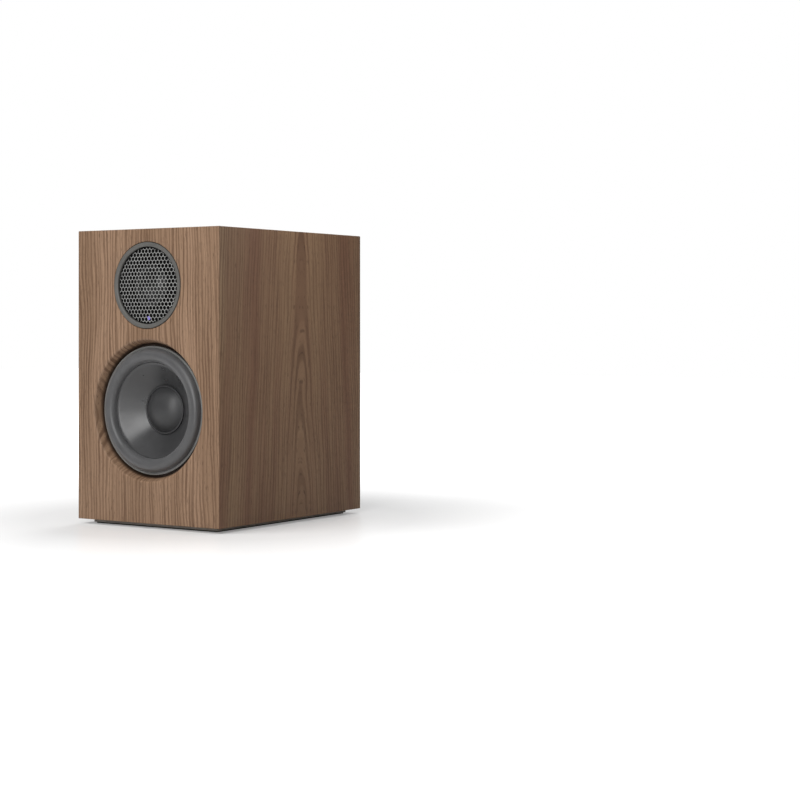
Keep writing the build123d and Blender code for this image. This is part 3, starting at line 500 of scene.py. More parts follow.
# ---------------------------------------------------------------- tweeter
def perforated_dome(settings, material):
    """Shallow domed sheet of six-sided cells, each with a rounded six-sided hole. The depth is
    edge - rise * (1 - (r / rim)^2), and cells that reach past the rim are drawn in to it."""
    high = extent("tweeter_mesh")[1]
    centre, rim = middle("tweeter_mesh"), high[0]
    pitch, hole = settings.hole_pitch, settings.hole_width / 2
    sheet_thickness, sides, hem = 0.3, 12, 0.5
    row_step = pitch * math.sqrt(0.75)
    rows = np.arange(-int(rim / row_step) - 1, int(rim / row_step) + 2)
    across = np.arange(-int(rim / pitch) - 1, int(rim / pitch) + 2)
    cx, cz = np.meshgrid(across * pitch, rows * row_step)
    cx = cx + (np.abs(rows) % 2)[:, None] * pitch / 2
    cells = np.stack([cx.ravel(), cz.ravel()], -1)
    cells = cells[np.hypot(*cells.T) < rim - 0.1]
    angle = np.radians(np.arange(sides) * 360 / sides)
    corner = np.arange(sides) % 2
    outline = np.where(corner, pitch / math.sqrt(3), pitch / 2)
    opening = np.where(corner, hole * 1.1, hole)
    loops = []
    for reach, sink in ((outline, 0.0), (opening + 0.22, 0.0), (opening + 0.07, 0.05), (opening, 0.16)):
        flat = cells[:, None, :] + np.stack([reach * np.cos(angle), reach * np.sin(angle)], -1)
        r = np.hypot(flat[..., 0], flat[..., 1])
        flat = flat * np.minimum(1, (rim - hem) / np.maximum(r, TINY))[..., None]
        r = np.hypot(flat[..., 0], flat[..., 1])
        depth = high[1] - 0.55 - settings.mesh_rise * (1 - (r / rim) ** 2) + sink
        loops.append(np.stack([flat[..., 0] + centre[0], depth, flat[..., 1] + centre[2]], -1))
    points = np.stack(loops, 1)
    ring = grid_faces(len(loops), sides, False, True)
    faces = (ring[None] + np.arange(len(cells))[:, None, None] * len(loops) * sides).reshape(-1, 4)
    made = piece("tweeter_perforated_mesh", points.reshape(-1, 3), faces, material, 45.0)
    face_forward(made)
    sheet = made.modifiers.new("sheet thickness", "SOLIDIFY")
    sheet.thickness, sheet.offset = sheet_thickness * MM, -1.0  # it thickens to the rear
    return seat(made, "cabinet", "tweeter_mesh")


def face_forward(made):
    """Turn an open sheet's faces to the front."""
    normals = np.empty(len(made.data.polygons) * 3)
    made.data.polygons.foreach_get("normal", normals)
    if normals.reshape(-1, 3)[:, 1].mean() > 0:
        made.data.flip_normals()


def tweeter_rim(axis):
    """Flat ring whose inner edge slopes in to the mesh."""
    low, high = extent("tweeter_ring")
    outer, inner = half_width("tweeter_ring"), half_width("tweeter_mesh") + 0.1
    ring = [(outer, high[1], 0.0), (outer, low[1], 0.45), (inner + 0.9, low[1], 0.3),
            (inner, low[1] + 0.75, 0.3), (inner, high[1], 0.0)]
    seat(turned("tweeter_satin_ring", [eased(ring)], [axis], finish("satin_ring_paint"), 256), "cabinet",
         "tweeter_ring")


def mesh_edge_shadow(axis):
    """Bead round the mesh's edge, round in section, in near black: a painted shadow of the gap between the
    mesh and the ring.
    """
    bead, rim, back = 0.42, half_width("tweeter_mesh"), extent("tweeter_ring")[1][1]
    hem = arc((rim - bead, back - bead), 0.38, 0, 330, 12)
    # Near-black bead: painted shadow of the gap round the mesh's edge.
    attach(turned("tweeter_mesh_edge_shadow", [hem], [axis], finish("matt_black_plate"), 192), "cabinet")


def silk_dome(axis, rise):
    """Dome that is an arc of a circle, and the half roll round it that lets it move."""
    dome_r, crown = half_width("tweeter_dome"), extent("tweeter_dome")[0][1]
    shell = dome_curve(dome_r, crown, rise, 20)
    seat(turned("tweeter_silk_dome", [facing(shell, 0.35)], [axis], finish("coated_silk"), 96),
         "tweeter_diaphragm", "tweeter_dome")
    high = extent("tweeter_surround")[1]
    reach = half_width("tweeter_surround")
    width = (reach - dome_r) / 2
    roll = arc((dome_r + width, high[1] - 0.4), width - 0.1, 0, -180, 18)
    band = turned("tweeter_silk_roll", [facing(roll, 0.35)], [axis], finish("coated_silk"), 96)
    bend_radially(band, axis)
    stand_for(band, "tweeter_surround")


def status_lens():
    """Small round lens with a rounded front edge."""
    low, high = extent("status_light")
    at, r, edge = middle("status_light")[[0, 2]], half_width("status_light"), 0.6
    lens = np.concatenate([[(0, high[1]), (r, high[1])], arc((r - edge, low[1] + edge), edge, 0, -90, 6),
                           [(0, low[1])]])
    seat(turned("status_light_lens", [lens], [at], finish("lit_lens"), 32), "cabinet", "status_light")


def tweeter_pieces(settings):
    """Visible pieces of the tweeter, in order from the ring inwards, and the status light."""
    axis = middle("tweeter_ring")[[0, 2]]
    tweeter_rim(axis)
    perforated_dome(settings, finish("mesh_paint"))
    mesh_edge_shadow(axis)
    refined("tweeter_faceplate", "tweeter_dished_faceplate", finish("matt_black_plate"), 0.2)
    silk_dome(axis, settings.dome_rise)
    status_lens()


# ---------------------------------------------------------------- rear, base and inside
def port_piece(settings):
    """Reflex tube whose bore opens at the mouth along a quarter circle, out to a thin flange."""
    axis = middle("port_tube")[[0, 2]]
    low, high = extent("port_tube")
    flange, mouth = half_width("port_tube"), high[1]
    bore, wall, flare, lip = settings.port_bore_radius, 2.5, 4.0, 2.0
    inside = arc((bore + flare, mouth - flare), flare, 180, 90, 14)
    outline = np.concatenate([[(bore + wall, low[1]), (bore + 0.5, low[1]), (bore, low[1] + 0.5)], inside,
                              eased([(flange - 0.9, mouth, 0.5), (flange, mouth - 0.5, 0.4),
                                     (flange, mouth - lip, 0)])[3:],
                              [(bore + wall, mouth - lip)]])
    seat(turned("rear_port_tube", [outline], [axis], finish("moulded_black"), 160), "cabinet", "port_tube")


def line_socket_piece():
    """Three turned line sockets: a plated barrel, a coloured washer and a black core with its
    contact hole."""
    low, high = extent("line_sockets")
    reach = (high[2] - low[2]) / 2
    places = [(low[0] + reach, middle("line_sockets")[2]), middle("line_sockets")[[0, 2]],
              (high[0] - reach, middle("line_sockets")[2])]
    end = high[1]
    outline = [(reach, low[1], 0), (reach, end - 0.2, 0.3), (reach - 0.6, end, 0.15),
               (reach - 0.75, end - 0.15, 0.05), (reach - 0.8, end - 0.5, 0.05), (2.35, end - 0.5, 0.05),
               (2.3, end - 0.05, 0.1), (1.75, end - 0.05, 0.15), (1.7, end - 0.3, 0.05),
               (1.7, end - 6.5, 0), (0, end - 6.5, 0), (0, low[1], 0)]
    made = turned("line_socket_barrels", [eased(outline, 4)] * 3, places, finish("bright_nickel"), 64)
    seat(made, "cabinet", "line_sockets")
    places = np.array(places)

    def zones(centres):
        """Black core inside a coloured washer; one socket is red and two are white."""
        gap = np.abs(centres[:, :1] - places[None, :, 0])
        which = gap.argmin(1)
        r = np.hypot(centres[:, 0] - places[which, 0], centres[:, 2] - places[which, 1])
        colour = np.where(which == 2, 2, 1)
        core = np.where(r < 2.5, 3, np.where(r < reach - 0.62, colour, 0))
        return np.where(centres[:, 1] > end - 6.6, core, 0)
    repaint(made, [finish("white_insulator"), finish("red_insulator"), finish("moulded_black")], zones)


def rear_pieces(settings):
    """Rear panel and what it carries: solids with rounded edges, and the turned sockets and port."""
    refined("rear_panel", "laminated_rear_panel", finish("black_laminate"), 0.5)
    refined("amp_plate", "amplifier_plate", finish("anodised_plate"), 0.35)
    for node, made, material, edge in (
            ("rear_screws", "rear_panel_screws", "black_zinc", 0.12),
            ("amp_screws", "amplifier_plate_screws", "black_zinc", 0.12),
            ("post_bases", "binding_post_bases", "moulded_black", 0.25),
            ("binding_posts", "threaded_posts", "gilt_brass", 0.08),
            ("av_socket", "digital_socket_shell", "bright_nickel", 0.1),
            ("mains_inlet", "mains_inlet_body", "moulded_black", 0.3)):
        refined(node, made, finish(material), edge)
    for side, colour in (("left", "moulded_black_cap"), ("right", "moulded_red_cap")):
        refined(f"{side}_post_washer", f"{side}_clamp_washer", finish("gilt_brass"), 0.1,
                f"{side}_washer")
        refined(f"{side}_post_cap", f"{side}_ribbed_cap", finish(colour), 0.18, f"{side}_cap")
    for key in ("source", "pairing", "reset"):
        refined(f"{key}_button", f"{key}_key_top", finish("button_plastic"), 0.3, f"{key}_key")
    line_socket_piece()
    port_piece(settings)


def base_pieces():
    """Plinth and pad, with rounded edges."""
    refined("base_plinth", "recessed_plinth", finish("plinth_paint"), 0.3)
    refined("base_pad", "non_slip_pad", finish("pad_rubber"), 0.2)


def soft_pad(low, high, seed):
    """Rounded pad on a box grid: the two broad faces are uneven by a product of slow sine waves along
    depth and height, which a half sine along each takes to nothing at the edges."""
    steps, edge, swell = 25, 2.6, 0.35
    sides = []
    for axis in range(3):
        a, b = [i for i in range(3) if i != axis]
        u, v = np.meshgrid(np.linspace(0, 1, steps), np.linspace(0, 1, steps))
        for end in (0.0, 1.0):
            points = np.zeros(u.shape + (3,))
            points[..., axis], points[..., a], points[..., b] = end, u, v
            sides.append(points)
    box = np.stack(sides).reshape(-1, 3)
    points = round_box(low + box * (high - low), low, high, edge)
    x = (points - low) / (high - low)
    uneven = swell * np.sin(x[:, 1] * 9 + seed) * np.sin(x[:, 2] * 11 + 2 * seed)
    points[:, 0] += uneven * np.sin(np.pi * x[:, 1]) * np.sin(np.pi * x[:, 2]) * (1 - 2 * x[:, 0])
    faces = np.concatenate([grid_faces(steps, steps) + i * steps ** 2 for i in range(len(sides))])
    return points, faces


def wadding_piece():
    """One soft pad against each side wall."""
    low, high = extent("wadding")
    thick = 8.0
    shells = []
    for seed, (a, b) in enumerate(((low[0], low[0] + thick), (high[0] - thick, high[0]))):
        shells.append(soft_pad(np.array([a, low[1], low[2]]), np.array([b, high[1], high[2]]), seed + 1))
    points = np.concatenate([shell[0] for shell in shells])
    faces = np.concatenate([shells[0][1], shells[1][1] + len(shells[0][0])])
    made = seat(piece("fibre_wadding_pads", points, faces, finish("wadding_fibre"), 60.0), "cabinet",
                "wadding")


# Solids that are shown as they are, each with its finish.
INSIDE = {
    "shelf_brace": "raw_fibreboard", "woofer_basket": "basket_paint", "woofer_nuts": "black_zinc",
    "woofer_voice_coil": "enamelled_wire", "tweeter_voice_coil": "enamelled_wire",
    "woofer_top_plate": "zinc_plated_steel", "woofer_yoke": "zinc_plated_steel",
    "tweeter_top_plate": "zinc_plated_steel", "tweeter_cup": "zinc_plated_steel",
    "tweeter_screws": "black_zinc", "woofer_magnet": "ground_ferrite",
    "tweeter_magnet": "ground_ferrite", "woofer_terminals": "tag_board",
    "main_board": "solder_mask", "wireless_module": "solder_mask", "transformer": "taped_winding",
    "capacitors": "can_sleeve", "heat_sink": "heat_sink_metal", "amp_chip": "chip_epoxy",
    "tact_switches": "chip_epoxy", "woofer_lead": "lead_sleeve", "tweeter_lead": "lead_sleeve",
    "light_lead": "lead_sleeve"}


def inside_pieces():
    """Give the solids inside their finishes, and lay in the wadding."""
    for node, name in INSIDE.items():
        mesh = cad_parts[node].data
        mesh.materials.clear()
        mesh.materials.append(finish(name))
        shade(mesh, 30)
    wadding_piece()


# ---------------------------------------------------------------- finishes
def tone(code):
    """Linear colour from an sRGB hex code such as 7A5C44."""
    srgb = np.array([int(code[i:i + 2], 16) for i in (0, 2, 4)]) / 255
    linear = np.where(srgb <= 0.04045, srgb / 12.92, ((srgb + 0.055) / 1.055) ** 2.4)
    return tuple(float(c) for c in linear)


def add(tree, kind, inputs=None, **settings):
    """One node with its settings. An input is a value, a socket, or a node whose first output in use
    is linked."""
    node = tree.nodes.new("ShaderNode" + kind)
    for key, value in settings.items():
        setattr(node, key, value)
    for key, value in (inputs or {}).items():
        if isinstance(value, bpy.types.Node):
            value = next(out for out in value.outputs if out.enabled)
        if isinstance(value, bpy.types.NodeSocket):
            tree.links.new(value, node.inputs[key])
        elif node.inputs[key].type == "RGBA":
            node.inputs[key].default_value = (*value[:3], 1.0)
        else:
            node.inputs[key].default_value = value
    return node


def blank(name, **constants):
    """New material with a principled shader, and its object coordinates in millimetres."""
    material = bpy.data.materials.new(name)
    material.use_nodes = True
    tree = material.node_tree
    tree.nodes.clear()
    shader = add(tree, "BsdfPrincipled", {key.replace("_", " "): v for key, v in constants.items()})
    add(tree, "OutputMaterial", {"Surface": shader})
    where = add(tree, "TexCoord").outputs["Object"]
    return tree, shader, add(tree, "Mapping", {"Vector": where, "Scale": (1 / MM,) * 3})


def link(tree, source, shader, name):
    """Join a node's first output in use to one of the shader's inputs."""
    out = next(o for o in source.outputs if o.enabled)
    tree.links.new(out, shader.inputs[name])


WAVE_RATE = 20  # a wave texture's phase per unit of its scaled vector


def coated(name, colour, roughness, grain=0.4, relief=0.02, patch=14.0, uneven=0.12, swing=0.06,
           stretch=(1, 1, 1), **constants):
    """Paint, moulding, rubber or pulp: a fine grain breaks up the light, and wide soft patches vary
    the tone and gloss a little, so that no face looks flat."""
    tree, shader, mm = blank(name, **constants)
    drawn = add(tree, "Mapping", {"Vector": mm, "Scale": stretch})
    fine = add(tree, "TexNoise", {"Vector": drawn, "Scale": 1 / grain, "Detail": 3.0, "Roughness": 0.6})
    wide = add(tree, "TexNoise", {"Vector": drawn, "Scale": 1 / patch, "Detail": 2.0})
    both = add(tree, "Math", {0: fine, 1: wide}, operation="ADD")
    share = add(tree, "MapRange", {"Value": both, "From Min": 0.75, "From Max": 1.25})
    darker = [c * (1 - uneven) for c in colour]
    lighter = [min(1.0, c * (1 + uneven)) for c in colour]
    link(tree, add(tree, "Mix", {0: share, 6: darker, 7: lighter}, data_type="RGBA"), shader,
         "Base Color")
    link(tree, add(tree, "MapRange", {"Value": wide, "From Min": 0.3, "From Max": 0.7,
                                      "To Min": roughness - swing, "To Max": roughness + swing}),
         shader, "Roughness")
    link(tree, add(tree, "Bump", {"Height": fine, "Distance": relief * MM, "Strength": 0.6}), shader,
         "Normal")


def walnut(name, light, dark, line, along, across, flame_at, spread, slope, pitch, seed, contrast, wide,
           stained=False):
    """Walnut veneer cut from a leaf. The growth lines are where sqrt((u - u0)^2 + spread^2) + slope
    v plus a slow wander keeps a whole number of pitches: u runs across the grain and v along it, so
    the lines stand upright away from u0 and close into pointed arches at it. Fibres, short pore
    dashes and wide bands of warmer and greyer brown lie over them."""
    tree, shader, mm = blank(name, Specular_IOR_Level=0.32)
    axes = add(tree, "SeparateXYZ", {"Vector": mm})
    u, v = axes.outputs[across], axes.outputs[along]
    w = axes.outputs[({0, 1, 2} - {across, along}).pop()]
    slow = add(tree, "CombineXYZ", {"X": u, "Y": v, "Z": float(seed * 37)})
    slow = add(tree, "Mapping", {"Vector": slow, "Scale": (1 / 26, 1 / 75, 1)})
    wander = add(tree, "TexNoise", {"Vector": slow, "Scale": 1.0, "Detail": 2.0, "Roughness": 0.45})
    wander = add(tree, "Math", {0: wander, 1: wide, 2: -wide / 2}, operation="MULTIPLY_ADD")
    off = add(tree, "Math", {0: u, 1: float(flame_at)}, operation="SUBTRACT")
    ring = add(tree, "Math", {0: off, 1: off, 2: float(spread ** 2)}, operation="MULTIPLY_ADD")
    ring = add(tree, "Math", {0: ring}, operation="SQRT")
    ring = add(tree, "Math", {0: v, 1: float(slope), 2: ring}, operation="MULTIPLY_ADD")
    ring = add(tree, "Math", {0: ring, 1: wander}, operation="ADD")
    # Lines about the pitch apart: a sine of the ring distance whose phase and depth both drift.
    phase_drift, fibre_share, pore_share = 16.0, 0.44, 0.55
    leaf = add(tree, "CombineXYZ", {"X": ring, "Y": v, "Z": float(seed * 11)})
    drift = add(tree, "Mapping", {"Vector": leaf, "Scale": (0.16, 0.004, 1)})
    drift = add(tree, "TexNoise", {"Vector": drift, "Scale": 1.0, "Detail": 3.0})
    phase = add(tree, "Math", {0: ring, 1: 2 * math.pi / pitch}, operation="MULTIPLY")
    phase = add(tree, "Math", {0: drift, 1: phase_drift, 2: phase}, operation="MULTIPLY_ADD")
    lines = add(tree, "Math", {0: phase}, operation="SINE")
    lines = add(tree, "MapRange", {"Value": lines, "From Min": -0.35, "From Max": 0.95},
                interpolation_type="SMOOTHSTEP")
    depth = add(tree, "Mapping", {"Vector": leaf, "Scale": (0.09, 0.012, 1)})
    depth = add(tree, "TexNoise", {"Vector": depth, "Scale": 1.0, "Detail": 2.0})
    depth = add(tree, "MapRange", {"Value": depth, "From Min": 0.32, "From Max": 0.68, "To Min": 0.35,
                                   "To Max": 1.0})
    lines = add(tree, "Math", {0: lines, 1: depth}, operation="MULTIPLY")
    fibre_at = add(tree, "CombineXYZ", {"X": ring, "Y": v, "Z": w})
    fibres = add(tree, "Mapping", {"Vector": fibre_at, "Scale": (1.1, 0.022, 0.3)})
    fibres = add(tree, "TexNoise", {"Vector": fibres, "Scale": 1.0, "Detail": 4.0, "Roughness": 0.62})
    fibres = add(tree, "MapRange", {"Value": fibres, "From Min": 0.3, "From Max": 0.72})
    pores = add(tree, "Mapping", {"Vector": fibre_at, "Scale": (2.3, 0.16, 1.2)})
    pores = add(tree, "TexNoise", {"Vector": pores, "Scale": 1.0, "Detail": 1.0})
    pores = add(tree, "MapRange", {"Value": pores, "From Min": 0.6, "From Max": 0.74},
                interpolation_type="SMOOTHSTEP")
    bands = add(tree, "Mapping", {"Vector": leaf, "Scale": (0.05, 0.0025, 1)})
    bands = add(tree, "TexNoise", {"Vector": bands, "Scale": 1.0, "Detail": 3.0})
    bands = add(tree, "MapRange", {"Value": bands, "From Min": 0.33, "From Max": 0.67})
    shade = add(tree, "Mix", {0: bands, 6: light, 7: dark}, data_type="RGBA")
    share = add(tree, "Math", {0: fibres, 1: fibre_share}, operation="MULTIPLY")
    shade = add(tree, "Mix", {0: share, 6: shade, 7: line}, data_type="RGBA")
    share = add(tree, "Math", {0: lines, 1: contrast}, operation="MULTIPLY")
    shade = add(tree, "Mix", {0: share, 6: shade, 7: line}, data_type="RGBA")
    share = add(tree, "Math", {0: pores, 1: pore_share}, operation="MULTIPLY")
    deep = [c * 0.45 for c in line]
    shade = add(tree, "Mix", {0: share, 6: shade, 7: deep}, data_type="RGBA")
    if stained:
        # Painted shade of the recess: the veneer darkens down the recess wall, streak by streak, to near
        # black at its foot.
        recess_shade_share = add(tree, "MapRange", {"Value": w, "From Min": FRONT + 4.0, "From Max": FRONT + 9.0,
                                      "To Max": 1.0}, interpolation_type="SMOOTHSTEP")
        recess_shade_share = add(tree, "Math", {0: fibres, 1: 0.16, 2: recess_shade_share}, operation="MULTIPLY_ADD")
        recess_shade_share = add(tree, "MapRange", {"Value": recess_shade_share, "From Min": 0.16, "From Max": 1.0, "To Max": 0.93})
        shade = add(tree, "Mix", {0: recess_shade_share, 6: shade, 7: [c * 0.2 for c in line]}, data_type="RGBA")
    link(tree, shade, shader, "Base Color")
    relief = add(tree, "Math", {0: lines, 1: pores}, operation="ADD")
    relief = add(tree, "Math", {0: relief, 1: fibres}, operation="ADD")
    link(tree, add(tree, "MapRange", {"Value": relief, "From Min": 0.0, "From Max": 2.0, "To Min": 0.46,
                                      "To Max": 0.62}), shader, "Roughness")
    link(tree, add(tree, "Bump", {"Height": relief, "Distance": 0.035 * MM, "Strength": 0.7},
                   invert=True), shader, "Normal")


def woven(name, colour, roughness, thread, sheen=0.25):
    """Cloth: two sets of crossed rounded threads, whose tone drops in the gaps as painted shade. They lie
    2 pi times the thread apart, coarser than real threads, which would be too fine to show."""
    tree, shader, mm = blank(name, Sheen_Weight=sheen)
    turns = 1 / thread / WAVE_RATE
    warp = add(tree, "TexWave", {"Vector": mm, "Scale": turns}, bands_direction="X")
    weft = add(tree, "TexWave", {"Vector": mm, "Scale": turns}, bands_direction="Z")
    wear = add(tree, "TexNoise", {"Vector": mm, "Scale": 0.2, "Detail": 2.0})
    cross = add(tree, "Math", {0: warp, 1: weft}, operation="MAXIMUM")
    share = add(tree, "Math", {0: cross, 1: wear}, operation="MULTIPLY")
    # Painted shade: darker in the gaps between threads, and unevenly darker by the slow noise.
    link(tree, add(tree, "Mix", {0: share, 6: [c * 0.6 for c in colour], 7: colour}, data_type="RGBA"),
         shader, "Base Color")
    link(tree, add(tree, "MapRange", {"Value": wear, "To Min": roughness - 0.1,
                                      "To Max": roughness + 0.1}), shader, "Roughness")
    link(tree, add(tree, "Bump", {"Height": cross, "Distance": 0.3 * thread * MM, "Strength": 0.6}),
         shader, "Normal")


def wound(name, colour, pitch):
    """Enamelled wire laid side by side: round ridges along the depth. They lie 2 pi times the pitch
    apart, coarser than the real turns, which would be too fine to show."""
    tree, shader, mm = blank(name, Metallic=1.0)
    ridge = add(tree, "TexWave", {"Vector": mm, "Scale": 1 / pitch / WAVE_RATE}, bands_direction="Y")
    tint = add(tree, "TexNoise", {"Vector": mm, "Scale": 0.5, "Detail": 2.0})
    link(tree, add(tree, "Mix", {0: tint, 6: [c * 0.7 for c in colour], 7: colour}, data_type="RGBA"),
         shader, "Base Color")
    link(tree, add(tree, "MapRange", {"Value": tint, "To Min": 0.25, "To Max": 0.45}), shader,
         "Roughness")
    link(tree, add(tree, "Bump", {"Height": ridge, "Distance": 0.3 * pitch * MM}), shader, "Normal")


def circuit(name, colour, copper):
    """Solder mask: squared cells with lighter raised borders for tracks, and bare metal dots."""
    tree, shader, mm = blank(name, Coat_Weight=0.4, Coat_Roughness=0.2)
    tracks = add(tree, "TexVoronoi", {"Vector": mm, "Scale": 0.28}, feature="F1", distance="CHEBYCHEV")
    path = add(tree, "MapRange", {"Value": tracks, "From Min": 0.4, "From Max": 0.5})
    dots = add(tree, "TexVoronoi", {"Vector": mm, "Scale": 0.4}, feature="F1")
    dots = add(tree, "MapRange", {"Value": dots, "From Min": 0.14, "From Max": 0.1})
    shade = add(tree, "Mix", {0: path, 6: [c * 0.6 for c in colour], 7: colour}, data_type="RGBA")
    link(tree, add(tree, "Mix", {0: dots, 6: shade, 7: copper}, data_type="RGBA"), shader, "Base Color")
    link(tree, add(tree, "MapRange", {"Value": dots, "To Min": 0.45, "To Max": 0.25}), shader,
         "Roughness")
    link(tree, add(tree, "Bump", {"Height": path, "Distance": 0.04 * MM}), shader, "Normal")


def lit(name, colour, strength):
    """Lens over a small lamp: its glow varies a little, as through a hazy moulding."""
    tree, shader, mm = blank(name, Roughness=0.25, Emission_Color=colour,
                             Base_Color=[c * 0.25 for c in colour])
    haze = add(tree, "TexNoise", {"Vector": mm, "Scale": 1.2, "Detail": 2.0})
    link(tree, add(tree, "MapRange", {"Value": haze, "To Min": 0.8 * strength,
                                      "To Max": 1.2 * strength}), shader, "Emission Strength")


